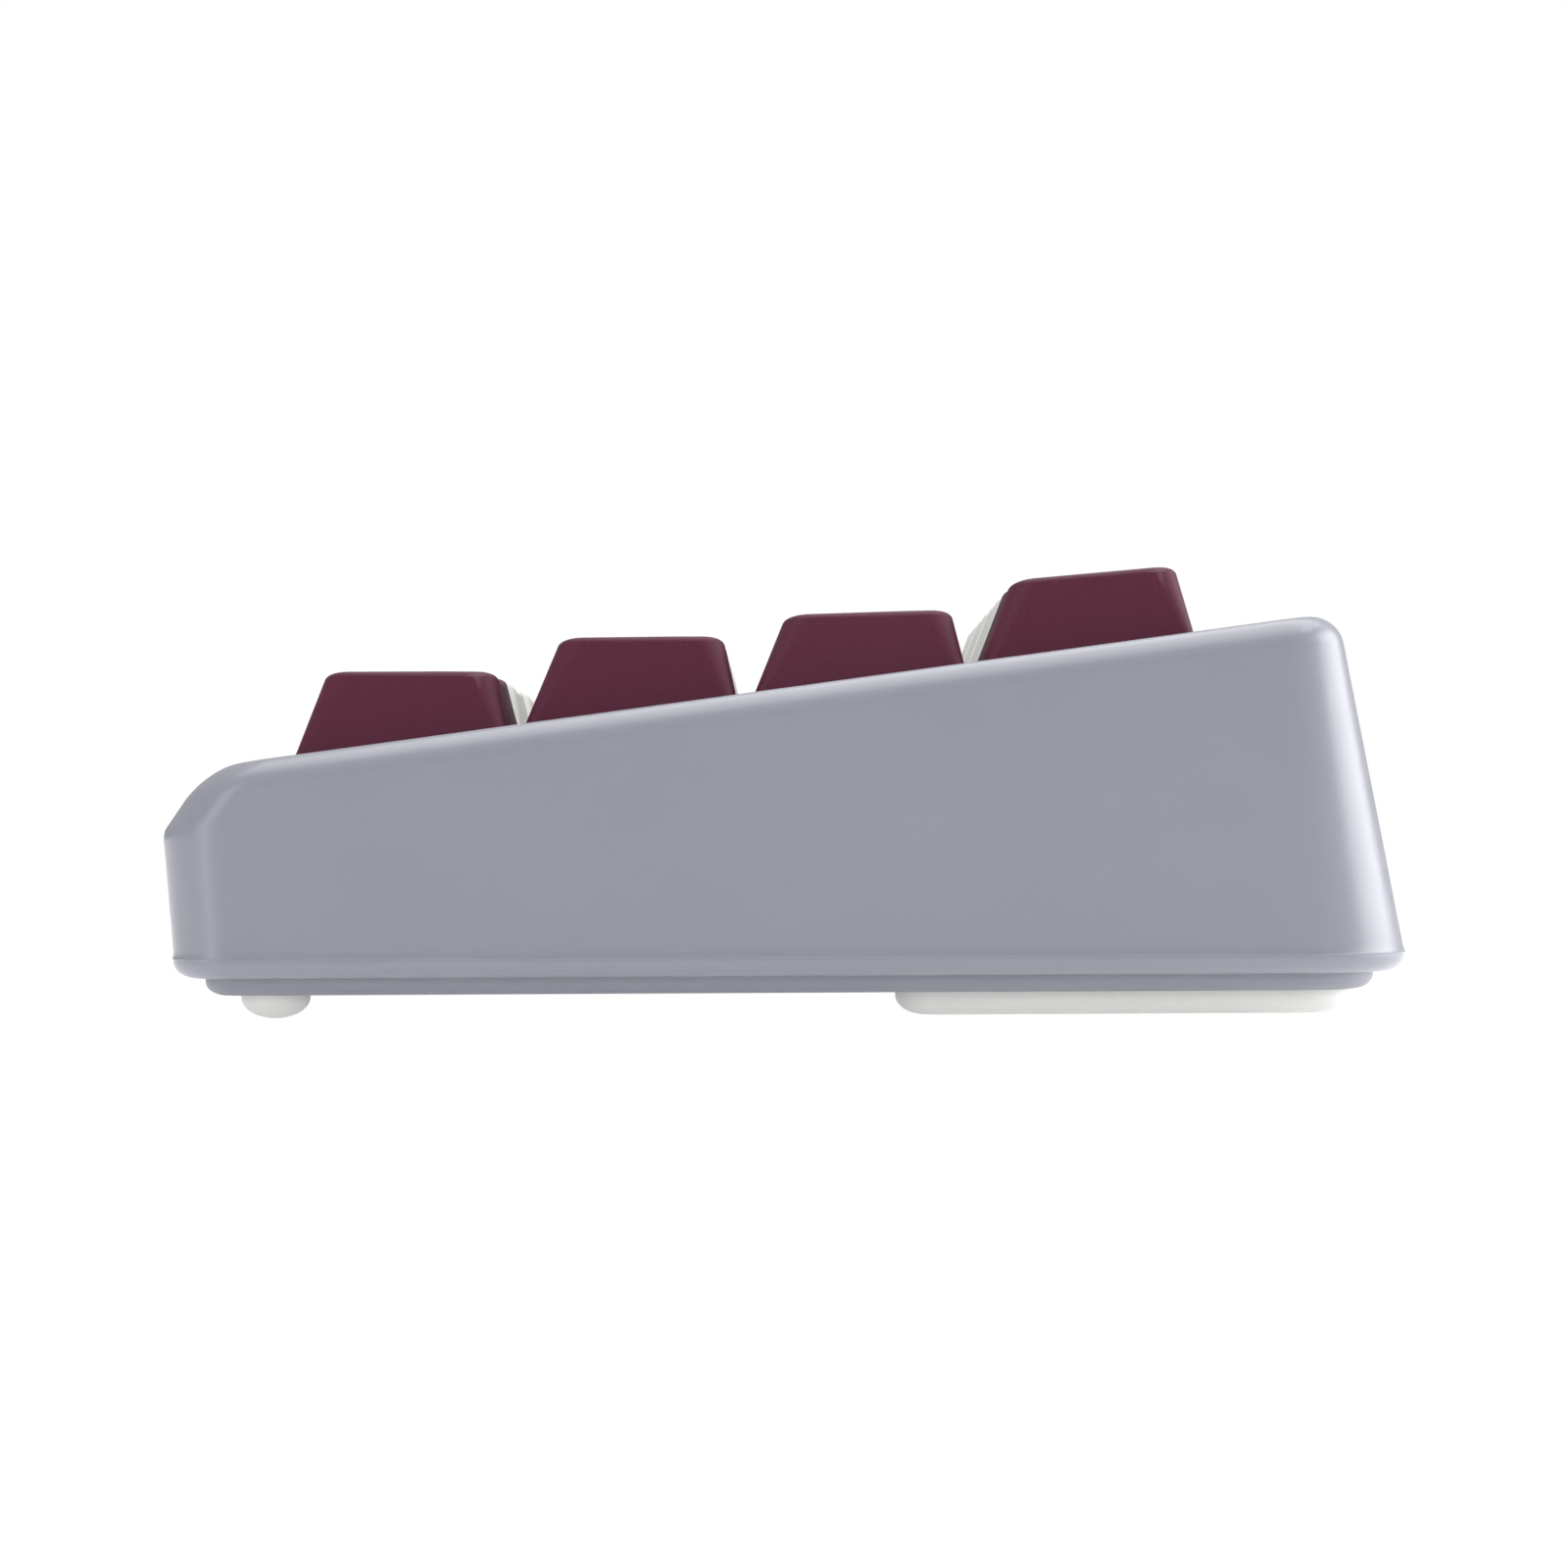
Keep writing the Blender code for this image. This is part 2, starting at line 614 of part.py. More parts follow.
def make_screws():
    """Flat-headed screws with a hexagon socket, turned about their own axes."""
    head_top = SCREW_HEAD_HEIGHT
    profile = [
        (0, head_top + SCREW_LENGTH),
        (SCREW_RADIUS, head_top + SCREW_LENGTH),
        (SCREW_RADIUS, head_top),
        (SCREW_HEAD_RADIUS, head_top),
        (SCREW_HEAD_RADIUS, 0),
        (0, 0),
    ]
    blank = turned(profile, ROUND_SIDES, "screw_blank")
    socket = prism(circle(SCREW_SOCKET_RADIUS, HEXAGON), -OVERSHOOT, SCREW_SOCKET_DEPTH, "screw_socket")
    data = baked(blank, [(socket, "DIFFERENCE")], "case_screw")
    for place, (x, y) in screw_places().items():
        part(f"case_screw_{place}", data, "steel", location=(x, y, SCREW_HEAD_BASE))


def make_feet():
    (dome_x, dome_y), (bar_x, bar_y) = foot_places()
    top = BASE_BOTTOM + FOOT_POCKET - SEAT_GAP
    shoulder = BASE_BOTTOM - FOOT_RIM
    turns = [math.pi / 2 * step / DOME_STEPS for step in range(DOME_STEPS)]
    profile = [(0, top), (DOME_RADIUS, top)]
    profile += [(DOME_RADIUS * math.cos(turn), shoulder * (1 - math.sin(turn))) for turn in turns]
    profile.append((0, 0))
    dome = turned(profile, ROUND_SIDES, "foot_dome")
    rings = round_over(
        level_ring(bar_outline(-BAR_RADIUS), 0),
        level_ring(bar_outline(), 0),
        level_ring(bar_outline(), BAR_RADIUS),
        EDGE_STEPS,
    )
    bar = loft(rings + [level_ring(bar_outline(), top)], "foot_bar")
    for side, name in ((-1, "left"), (1, "right")):
        smooth(part(f"foot_dome_{name}", dome, "rubber", location=(side * dome_x, dome_y, 0)))
        smooth(part(f"foot_bar_{name}", bar, "rubber", location=(side * bar_x, bar_y, 0)))


def make_plate(deck):
    outlines = [
        shifted(box_outline(WELL_HALF_X + PLATE_SEAT, WELL_HALF_Y + PLATE_SEAT, PLATE_CORNER), 0, FIELD_SHIFT)
    ]
    outlines += [shifted(rectangle(PLATE_HOLE / 2, PLATE_HOLE / 2), x, y) for x, y in key_places()]
    flat_piece("switch_plate", outlines, PLATE_LEVEL - PLATE_THICKNESS, PLATE_LEVEL, "plate", deck)


def make_board(deck):
    mouth, _ = port_place()
    half_x = FIELD_HALF_X + BOARD_MARGIN
    front = FIELD_SHIFT - FIELD_HALF_Y - BOARD_MARGIN
    back = mouth - USB_OVERHANG
    outlines = [outline(half_x, front, back, BOARD_CORNER, BOARD_CORNER, SMALL_CORNER_STEPS)]
    outlines += [circle(BOARD_HOLE_RADIUS, PIN_SIDES, place) for place in key_places()]
    flat_piece("circuit_board", outlines, BOARD_LEVEL - BOARD_THICKNESS, BOARD_LEVEL, "board", deck)


def make_receptacle(deck):
    """A flattened steel tube with a closed back and a tongue inside."""
    mouth, level = port_place()
    rear = mouth - USB_DEPTH
    shell = port_prism(USB_WIDTH / 2, USB_HEIGHT / 2, rear, mouth, "usb_shell")
    room = port_prism(
        USB_WIDTH / 2 - USB_SHELL, USB_HEIGHT / 2 - USB_SHELL, rear + USB_BACK, mouth + OVERSHOOT, "usb_room"
    )
    start = rear + USB_BACK / 2
    length = TONGUE_LENGTH + USB_BACK / 2
    tongue = boxes([((TONGUE_WIDTH, length, TONGUE_THICKNESS), (0, start + length / 2, level))])
    data = baked(shell, [(room, "DIFFERENCE"), (tongue, "UNION")], "usb_c_receptacle")
    part("usb_c_receptacle", data, "steel", deck)


def cap_ring(row, height, fall, corner, steps, wall=0.0, inset=0.0):
    """A ring round a cap, wall inside its sloping sides and inset further in plan.

    It lies on the plane that is height above the cap's lower edge at the stem and falls towards the back.
    """
    half = CAP_BASE / 2 - wall
    side_slope = (CAP_BASE - CAP_TOP_WIDTH) / 2 / CAP_HEIGHTS[row]
    front = (height * CAP_FRONT_SLOPES[row] - half) / (1 + fall * CAP_FRONT_SLOPES[row])
    back = (half - height * CAP_BACK_SLOPE) / (1 - fall * CAP_BACK_SLOPE)
    points = outline(half - inset, front + inset, back - inset, corner - inset, corner - inset, steps)
    ring = [Vector((x, y, height - fall * y)) for x, y in points]
    return drafted(ring, side_slope, 0)


def cap_blank(row):
    height = CAP_HEIGHTS[row]
    fall = math.tan(CAP_TILTS[row])
    steps = CAP_CORNER_STEPS
    rings = [cap_ring(row, 0, 0, CAP_BASE_RADIUS, steps)]
    rings += round_over(
        cap_ring(row, height - CAP_EDGE_RADIUS, fall, CAP_TOP_RADIUS, steps),
        cap_ring(row, height, fall, CAP_TOP_RADIUS, steps),
        cap_ring(row, height, fall, CAP_TOP_RADIUS, steps, inset=CAP_EDGE_RADIUS),
        EDGE_STEPS,
    )
    return loft(rings, "cap_blank")


def cap_room(row):
    heights = (-OVERSHOOT, CAP_CEILING)
    return loft([cap_ring(row, height, 0, CAP_BASE_RADIUS, 1, CAP_WALL) for height in heights], "cap_room")


def cap_dish(row):
    """A long cylinder whose lower side hollows the cap's top from front to back."""
    half_width = CAP_TOP_WIDTH / 2 - CAP_EDGE_RADIUS
    radius = (half_width**2 + DISH_DEPTH**2) / (2 * DISH_DEPTH)
    centre = Vector((0, 0, CAP_HEIGHTS[row]))
    lift = Matrix.Translation((0, 0, radius - DISH_DEPTH))
    lean = Matrix.Rotation(-CAP_TILTS[row], 4, "X")
    lie = Matrix.Rotation(math.pi / 2, 4, "X") @ Matrix.Rotation(math.pi / DISH_SIDES, 4, "Z")
    mesh = bmesh.new()
    bmesh.ops.create_cone(
        mesh,
        cap_ends=True,
        segments=DISH_SIDES,
        radius1=radius,
        radius2=radius,
        depth=2 * CAP_BASE,
        matrix=Matrix.Translation(centre) @ lean @ lift @ lie,
    )
    return finished(mesh, "cap_dish")


def cross(span, thickness, low, high):
    """Outline prism of a plus sign."""
    long = span / 2
    short = thickness / 2
    quarter = [(long, -short), (long, short), (short, short)]
    points = []
    for turn in range(4):
        cos, sin = round(math.cos(turn * math.pi / 2)), round(math.sin(turn * math.pi / 2))
        points += [(x * cos - y * sin, x * sin + y * cos) for x, y in quarter]
    return prism(points, low, high, "cross")


def slider_top():
    """Top of a resting stem's slider above the cap's lower edge."""
    return HOUSING_TOP - CAP_LIFT


def keycap_mesh(row):
    post_low = slider_top() + SEAT_GAP
    post = prism(circle(CAP_POST_RADIUS, POST_SIDES), post_low, CAP_CEILING + CAP_WALL / 4, "cap_post")
    socket_top = slider_top() + CROSS_HEIGHT + SEAT_GAP
    span = CROSS_SPAN + 2 * PRESS_GAP
    thickness = CROSS_THICKNESS + 2 * PRESS_GAP
    socket = cross(span, thickness, post_low - OVERSHOOT, socket_top)
    steps = [
        (cap_dish(row), "DIFFERENCE"),
        (cap_room(row), "DIFFERENCE"),
        (post, "UNION"),
        (socket, "DIFFERENCE"),
    ]
    return baked(cap_blank(row), steps, f"keycap_row_{row}")


def stem_mesh():
    """Slider and cross, from the slider's top at Z = 0."""
    slider = boxes([((SLIDER_WIDTH, SLIDER_DEPTH, SLIDER_HEIGHT), (0, 0, -SLIDER_HEIGHT / 2))])
    post = cross(CROSS_SPAN, CROSS_THICKNESS, -SLIDER_HEIGHT / 2, CROSS_HEIGHT)
    return baked(slider, [(post, "UNION")], "stem")


def housing_mesh():
    """Housing with its flange on the plate, from the plate's upper face at Z = 0."""
    lower = PLATE_HOLE / 2 - PRESS_GAP
    flange_top = SEAT_GAP + FLANGE_THICKNESS
    levels = [
        (-HOUSING_DEPTH, lower, lower),
        (SEAT_GAP, lower, lower),
        (SEAT_GAP, FLANGE_WIDTH / 2, FLANGE_WIDTH / 2),
        (flange_top, FLANGE_WIDTH / 2, FLANGE_WIDTH / 2),
        (flange_top, SHOULDER_WIDTH / 2, SHOULDER_WIDTH / 2),
        (HOUSING_TOP, CROWN_WIDTH / 2, CROWN_DEPTH / 2),
    ]
    blank = loft([level_ring(rectangle(half_x, half_y), height) for height, half_x, half_y in levels], "housing")
    pin = prism(circle(PIN_RADIUS, PIN_SIDES), -HOUSING_DEPTH - PIN_LENGTH, -HOUSING_DEPTH + HOUSING_FLOOR / 2)
    room_x = SLIDER_WIDTH + 2 * SLIDE_GAP
    room_y = SLIDER_DEPTH + 2 * SLIDE_GAP
    room_height = SLIDER_ROOM + OVERSHOOT
    room_centre = HOUSING_TOP - SLIDER_ROOM + room_height / 2
    room = boxes([((room_x, room_y, room_height), (0, 0, room_centre))])
    return baked(blank, [(pin, "UNION"), (room, "DIFFERENCE")], "switch_housing")


def make_keys(deck):
    housing = housing_mesh()
    stem = stem_mesh()
    for row, names in enumerate(KEY_NAMES):
        cap = keycap_mesh(row)
        for column, name in enumerate(names):
            x, y = key_place(row, column)
            color = "cap_plum" if column == COLUMNS - 1 else "cap_white"
            part(f"keycap_{name}", cap, color, deck, (x, y, -CAP_SINK))
            part(f"stem_{name}", stem, "stem", deck, (x, y, PLATE_LEVEL + HOUSING_TOP))
            part(f"switch_housing_{name}", housing, "housing", deck, (x, y, PLATE_LEVEL))


def main():
    deck = bpy.data.objects.new("key_deck", None)
    PARTS.objects.link(deck)
    deck.location = (0, 0, RIM_HEIGHT)
    deck.rotation_euler = (DECK_TILT, 0, 0)
    bpy.context.view_layer.update()
    make_upper_case(deck)
    make_base_plate()
    make_plate(deck)
    make_board(deck)
    make_receptacle(deck)
    make_keys(deck)
    make_screws()
    make_feet()


main()
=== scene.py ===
"""Looks of a numeric keypad: a wedge-shaped case of satin plastic with sculpted, grained keycaps.

Metres, in the row frame: +X is the user's right, +Y points away from the user and +Z is up. The case,
base plate, keycaps, feet, screws and receptacle are rebuilt here as finer meshes. The switches, switch
plate and circuit board are the CAD nodes with better materials.
"""

import json
import math

import bmesh
import bpy
from mathutils import Matrix, Vector


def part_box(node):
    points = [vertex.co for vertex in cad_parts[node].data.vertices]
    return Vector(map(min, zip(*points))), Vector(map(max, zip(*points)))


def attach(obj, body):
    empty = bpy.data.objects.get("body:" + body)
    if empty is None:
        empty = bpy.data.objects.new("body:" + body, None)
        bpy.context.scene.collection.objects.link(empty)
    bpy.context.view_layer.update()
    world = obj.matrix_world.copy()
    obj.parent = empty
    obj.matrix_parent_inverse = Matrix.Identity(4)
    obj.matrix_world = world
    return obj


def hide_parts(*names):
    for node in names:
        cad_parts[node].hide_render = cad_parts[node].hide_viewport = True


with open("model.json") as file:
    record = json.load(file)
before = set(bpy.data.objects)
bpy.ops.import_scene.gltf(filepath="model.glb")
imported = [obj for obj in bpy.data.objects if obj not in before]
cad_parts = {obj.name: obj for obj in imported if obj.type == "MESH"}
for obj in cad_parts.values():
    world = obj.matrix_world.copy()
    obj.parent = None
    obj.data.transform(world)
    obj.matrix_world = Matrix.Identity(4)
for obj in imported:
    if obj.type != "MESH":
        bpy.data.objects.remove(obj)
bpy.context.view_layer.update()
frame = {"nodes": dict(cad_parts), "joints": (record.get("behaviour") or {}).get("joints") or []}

MM = 0.001

# Shared clearances
SEAT_GAP = 0.3 * MM
OVERSHOOT = 2 * MM

# Key field. The keys press along the joints' axis, which is the deck's downward normal.
PITCH = 19.05 * MM
PRESS_AXIS = Vector(frame["joints"][0]["axis"])
DECK_TILT = math.atan2(PRESS_AXIS.y, -PRESS_AXIS.z)
DECK_RISE = math.tan(DECK_TILT)
RIM_HEIGHT = 26.5 * MM
FIELD_SHIFT = -3.65 * MM
DECK_PLACE = Matrix.Translation((0, 0, RIM_HEIGHT)) @ Matrix.Rotation(DECK_TILT, 4, "X")
KEY_NAMES = [
    ["0", "point", "equals", "plus"],
    ["1", "2", "3", "minus"],
    ["4", "5", "6", "times"],
    ["7", "8", "9", "divide"],
]
SIGNS = {"point": ".", "equals": "=", "plus": "+", "minus": "−", "times": "×", "divide": "÷"}
FIELD_HALF = 1.5 * PITCH

# Keycaps
CAP_BASE = 18.1 * MM
CAP_TOP_WIDTH = 11.9 * MM
CAP_SINK = 0.8 * MM
CAP_FRONT_SLOPES = [math.tan(math.radians(angle)) for angle in (25.0, 28.2, 29.0, 27.8)]
CAP_BACK_SLOPE = math.tan(math.radians(4.2))
CAP_BASE_RADIUS = 0.8 * MM
CAP_TOP_RADIUS = 2.0 * MM
CAP_EDGE_RADIUS = 0.5 * MM
CAP_LOWER_EDGE = 0.2 * MM
CAP_WALL = 1.4 * MM
CAP_CEILING = 4.4 * MM
CEILING_INSET = 2 * MM
SMALLEST_CORNER = 0.05 * MM
NARROWEST_TOP = CAP_TOP_WIDTH / 2 - 0.1 * MM
DISH_DEPTH = 0.6 * MM
CAP_HEIGHTS = [7.05 * MM, 7.32 * MM, 6.74 * MM, 7.32 * MM]
CAP_TILTS = [math.radians(angle) for angle in (8.4, 7.9, 6.7, 3.0)]
LEGEND_SIZE = 5.2 * MM
LEGEND_BACK = 1.1 * MM  # middle of a legend behind the middle of the cap's top
LEGEND_RAISE = 0.012 * MM
LEGEND_SLICE = 0.3 * MM

# Upper case
CASE_LOW, CASE_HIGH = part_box("upper_case")
CASE_BOTTOM = CASE_LOW.z
CASE_HALF_X = CASE_HIGH.x
RIDGE_HEIGHT = 4.95 * MM
RIDGE_BACK = CASE_HIGH.y
RIDGE_LIP = 0.08 * MM  # how far the band below the ridge stands back
RIDGE_FLARE = 0.12 * MM  # how far the ridge stands out from the walls above it
FLARE_HEIGHT = 0.8 * MM
SHOULDER_FRONT = CASE_LOW.y
RIDGE_FRONT = SHOULDER_FRONT + 0.7 * MM
SHOULDER_DROP = 4.75 * MM
SHOULDER_SHARE = 0.07  # of the next ring's distance, rounded off on each side of the shoulder
RIM_FRONT = RIDGE_FRONT + 2.85 * MM
BACK_SLOPE = math.tan(math.radians(12.1))
SIDE_DRAFT = math.tan(math.radians(1.7))
FRONT_CORNER = 5.6 * MM
BACK_CORNER_LOW = 9.0 * MM
BACK_CORNER_HIGH = 4.8 * MM
RIM_RADIUS = 2.5 * MM
FOOT_REACH = 2.1 * MM  # how far the rounded lower edge reaches in under the case
FOOT_RISE = 1.35 * MM
WALL = 3.0 * MM
RIM_SKIN = 2.4 * MM
WELL_GAP = 0.8 * MM
WELL_HALF = FIELD_HALF + CAP_BASE / 2 + WELL_GAP
WELL_CORNER = 1.6 * MM
WELL_EDGE = 0.5 * MM
SLEEVE_WALL = 1.8 * MM
CAP_LIFT = 6.3 * MM  # lower edge of a resting cap above the switch plate
SLEEVE_BOTTOM = -CAP_SINK - CAP_LIFT + SEAT_GAP

# Base plate, screws and feet
DOME_FEET = ["foot_dome_left", "foot_dome_right"]
BAR_FEET = ["foot_bar_left", "foot_bar_right"]
SCREWS = ["case_screw_front", "case_screw_back_left", "case_screw_back_right"]
BASE_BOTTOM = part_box("base_plate")[0].z
BASE_INSET = 2.65 * MM
BASE_REACH = 1.7 * MM
BASE_RISE = 1.15 * MM
BASE_SEAM = 0.02 * MM
BASE_RIM_TOP = CASE_BOTTOM - BASE_SEAM
BASE_TOP = CASE_BOTTOM + 1.5 * MM
FOOT_POCKET = 0.8 * MM
POCKET_GAP = 0.15 * MM
SCREW_HEAD_RADIUS = 2.3 * MM
SCREW_SHANK_RADIUS = 1.25 * MM
SCREW_HEAD_HEIGHT = 1.3 * MM
SCREW_EDGE = 0.25 * MM
SCREW_SOCKET = 0.95 * MM
SCREW_SOCKET_DEPTH = 0.9 * MM
DOME_RADIUS = 2.8 * MM
DOME_RISE = 1.75 * MM
BAR_WIDTH = 8.0 * MM
BAR_REACH = 2.3 * MM
BAR_RISE = 1.6 * MM
ALMOST_ALL = 0.98  # of a half width, as the corner radius of a rounded end

# USB-C receptacle and its port
USB_WIDTH = 8.94 * MM
USB_HEIGHT = 3.2 * MM
USB_DEPTH = 7.3 * MM
USB_LOW, USB_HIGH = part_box("usb_c_receptacle")
USB_MIDDLE = DECK_PLACE.inverted() @ ((USB_LOW + USB_HIGH) / 2)
USB_LEVEL = USB_MIDDLE.z
USB_MOUTH = USB_MIDDLE.y + USB_DEPTH / 2
USB_SHELL = 0.3 * MM
USB_FLOOR = 1.0 * MM
TONGUE_HALF_WIDTH = 3.3 * MM
TONGUE_HALF_HEIGHT = 0.35 * MM
TONGUE_TIP = 0.2 * MM  # length of the tapered tip
TONGUE_TAPER = 0.15 * MM  # how far it narrows on each side
TONGUE_START = 0.6 * MM
TONGUE_END = 5.6 * MM
CONTACT_COUNT = 12
CONTACT_PITCH = 0.5 * MM
CONTACT_SIZE = (0.26 * MM, 3.2 * MM, 0.06 * MM)
CONTACT_BACK = 2.1 * MM  # middle of a contact behind the tongue's tip
PORT_WIDTH = 13.0 * MM
PORT_HEIGHT = 7.2 * MM
PORT_FLARE = 0.5 * MM

# How finely shapes are cut and shaded
CORNER_STEPS = 20
EDGE_STEPS = 10
CAP_SIDE_STEPS = 14
CAP_CORNER_STEPS = 8
CAP_TOP_RINGS = 7
CAP_EDGE_STEPS = 8
CAP_LOWER_STEPS = 3
CAP_SIDE_SHARES = (0.25, 0.5, 0.75)
END_STEPS = 16
ROUND_SIDES = 64
SHARP_ANGLE = math.radians(32)
HEXAGON = 6
SMALLEST_RADIUS = MM / 1000
TEXT_JOIN = MM / 1000
TEXT_STEPS = 6
CUT_DISTANCE = MM / 10000


# Outlines and rings


def outline(half_x, front, back, front_radius, back_radius, corner_steps, side_steps=1):
    """(x, y) points of a rectangle with round corners, anticlockwise from the front right."""
    corners = [
        (half_x, front, front_radius, 1, 1, -90),
        (half_x, back, back_radius, 1, -1, 0),
        (-half_x, back, back_radius, -1, -1, 90),
        (-half_x, front, front_radius, -1, 1, 180),
    ]
    arcs = []
    for x, y, radius, side_x, side_y, start in corners:
        centre = Vector((x - side_x * radius, y + side_y * radius))
        turns = [math.radians(start + 90 * step / corner_steps) for step in range(corner_steps + 1)]
        arcs.append([centre + radius * Vector((math.cos(turn), math.sin(turn))) for turn in turns])
    points = []
    for arc, following in zip(arcs, arcs[1:] + arcs[:1]):
        points += arc
        points += [arc[-1].lerp(following[0], step / side_steps) for step in range(1, side_steps)]
    return points


def level_ring(points, height):
    return [Vector((x, y, height)) for x, y in points]


def drafted(ring, draft, base_height):
    """The ring with its left and right sides drawn in as they rise above base_height."""
    half = max(point.x for point in ring)
    return [Vector((p.x * (1 - draft * (p.z - base_height) / half), p.y, p.z)) for p in ring]


def between(ring, other, share):
    return [point.lerp(target, share) for point, target in zip(ring, other)]


def round_over(start, corner, end, steps):
    """Rings from start to end that round off the edge at corner, along an arc at every point."""
    pull = math.cos(math.pi / 4)
    rings = []
    for step in range(steps + 1):
        along = step / steps
        first, middle, last = (1 - along) ** 2, 2 * along * (1 - along) * pull, along**2
        total = first + middle + last
        rings.append([(a * first + b * middle + c * last) / total for a, b, c in zip(start, corner, end)])
    return rings


def circle(radius, sides):
    turns = [2 * math.pi * side / sides for side in range(sides)]
    return [Vector((radius * math.cos(turn), radius * math.sin(turn))) for turn in turns]


# Meshes and objects


def loft(rings, closed=False):
    """A bmesh through rings of equally many points. A closed one joins the last ring to the first."""
    mesh = bmesh.new()
    loops = [[mesh.verts.new(point) for point in ring] for ring in rings]
    pairs = list(zip(loops, loops[1:] + loops[:1])) if closed else list(zip(loops, loops[1:]))
    for lower, upper in pairs:
        for index in range(len(lower)):
            following = (index + 1) % len(lower)
            mesh.faces.new((lower[index], lower[following], upper[following], upper[index]))
    if not closed:
        mesh.faces.new(reversed(loops[0]))
        mesh.faces.new(loops[-1])
    bmesh.ops.recalc_face_normals(mesh, faces=mesh.faces)
    return mesh


def new_object(name, mesh):
    data = bpy.data.meshes.new(name)
    mesh.to_mesh(data)
    mesh.free()
    obj = bpy.data.objects.new(name, data)
    bpy.context.scene.collection.objects.link(obj)
    return obj


def cut(obj, *cutters):
    """Cuts the cutters' solids out of obj, and removes the cutters."""
    for cutter in cutters:
        modifier = obj.modifiers.new("cut", "BOOLEAN")
        modifier.operation = "DIFFERENCE"
        modifier.object = cutter
        modifier.solver = "EXACT"
    bpy.context.view_layer.update()
    shape = bpy.data.meshes.new_from_object(obj.evaluated_get(bpy.context.evaluated_depsgraph_get()))
    obj.modifiers.clear()
    obj.data = shape
    for cutter in cutters:
        bpy.data.objects.remove(cutter, do_unlink=True)


def smooth(obj):
    """Smooth shading that keeps flat faces flat beside rounded edges."""
    obj.data.shade_smooth()
    obj.data.set_sharp_from_angle(angle=SHARP_ANGLE)
    modifier = obj.modifiers.new("flat_faces", "WEIGHTED_NORMAL")
    modifier.keep_sharp = True


def add_piece(obj, body, slot, material, *nodes):
    """Rides obj on its body, with its finish, standing for these CAD nodes."""
    obj.data.materials.clear()
    obj.data.materials.append(material)
    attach(obj, body)
    if nodes:
        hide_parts(*nodes)
    return obj


# Materials

CLOUD_SIZE = 14 * MM
CLOUDING = 0.025
GLOSS_SIZE = 5 * MM
GLOSS_SPREAD = 0.03
RUBBED_FROM, RUBBED_TO = 0.52, 0.60  # pointiness of an edge that starts to rub, and of one fully rubbed
RUBBED_POLISH = 0.05
SKIN_DEPTH = 1.2 * MM
TARNISH_SIZE = 6 * MM
STREAK_RELIEF = 0.004 * MM


class Nodes:
    """Short calls for building one material's node tree."""

    def __init__(self, name):
        self.material = bpy.data.materials.new(name)
        self.material.use_nodes = True
        self.tree = self.material.node_tree
        self.shader = self.tree.nodes["Principled BSDF"]
        self.place = self.tree.nodes.new("ShaderNodeTexCoord").outputs["Object"]

    def link(self, output, target):
        self.tree.links.new(output, target)

    def noise(self, grain, detail, roughness=0.5):
        """Noise whose blobs are about grain metres across."""
        node = self.tree.nodes.new("ShaderNodeTexNoise")
        node.inputs["Scale"].default_value = 1 / grain
        node.inputs["Detail"].default_value = detail
        node.inputs["Roughness"].default_value = roughness
        self.link(self.place, node.inputs["Vector"])
        return node.outputs["Fac"]

    def spread(self, value, low, high, from_low=0.3, from_high=0.7):
        node = self.tree.nodes.new("ShaderNodeMapRange")
        node.inputs["From Min"].default_value = from_low
        node.inputs["From Max"].default_value = from_high
        node.inputs["To Min"].default_value = low
        node.inputs["To Max"].default_value = high
        self.link(value, node.inputs["Value"])
        return node.outputs["Result"]

    def mix(self, factor, first, second):
        node = self.tree.nodes.new("ShaderNodeMix")
        node.data_type = "RGBA"
        if isinstance(factor, float):
            node.inputs["Factor"].default_value = factor
        else:
            self.link(factor, node.inputs["Factor"])
        for socket, value in (("A", first), ("B", second)):
            target = next(s for s in node.inputs if s.name == socket and s.type == "RGBA")
            if isinstance(value, tuple):
                target.default_value = (*value, 1.0)
            else:
                self.link(value, target)
        return next(s for s in node.outputs if s.type == "RGBA")

    def combined(self, first, second, operation):
        node = self.tree.nodes.new("ShaderNodeMath")
        node.operation = operation
        for socket, value in zip(node.inputs, (first, second)):
            if isinstance(value, float):
                socket.default_value = value
            else:
                self.link(value, socket)
        return node.outputs["Value"]

    def edges(self, low, high):
        """0 on flat and hollow faces, rising to 1 on edges that stand out."""
        node = self.tree.nodes.new("ShaderNodeNewGeometry")
        return self.spread(node.outputs["Pointiness"], 0.0, 1.0, low, high)

    def bump(self, height, distance):
        node = self.tree.nodes.new("ShaderNodeBump")
        node.inputs["Strength"].default_value = 1.0
        node.inputs["Distance"].default_value = distance
        self.link(height, node.inputs["Height"])
        self.link(node.outputs["Normal"], self.shader.inputs["Normal"])


def tinted(color, share):
    return tuple(min(1.0, channel * share) for channel in color)


def lightened(color, share):
    return tuple(channel + (1 - channel) * share for channel in color)


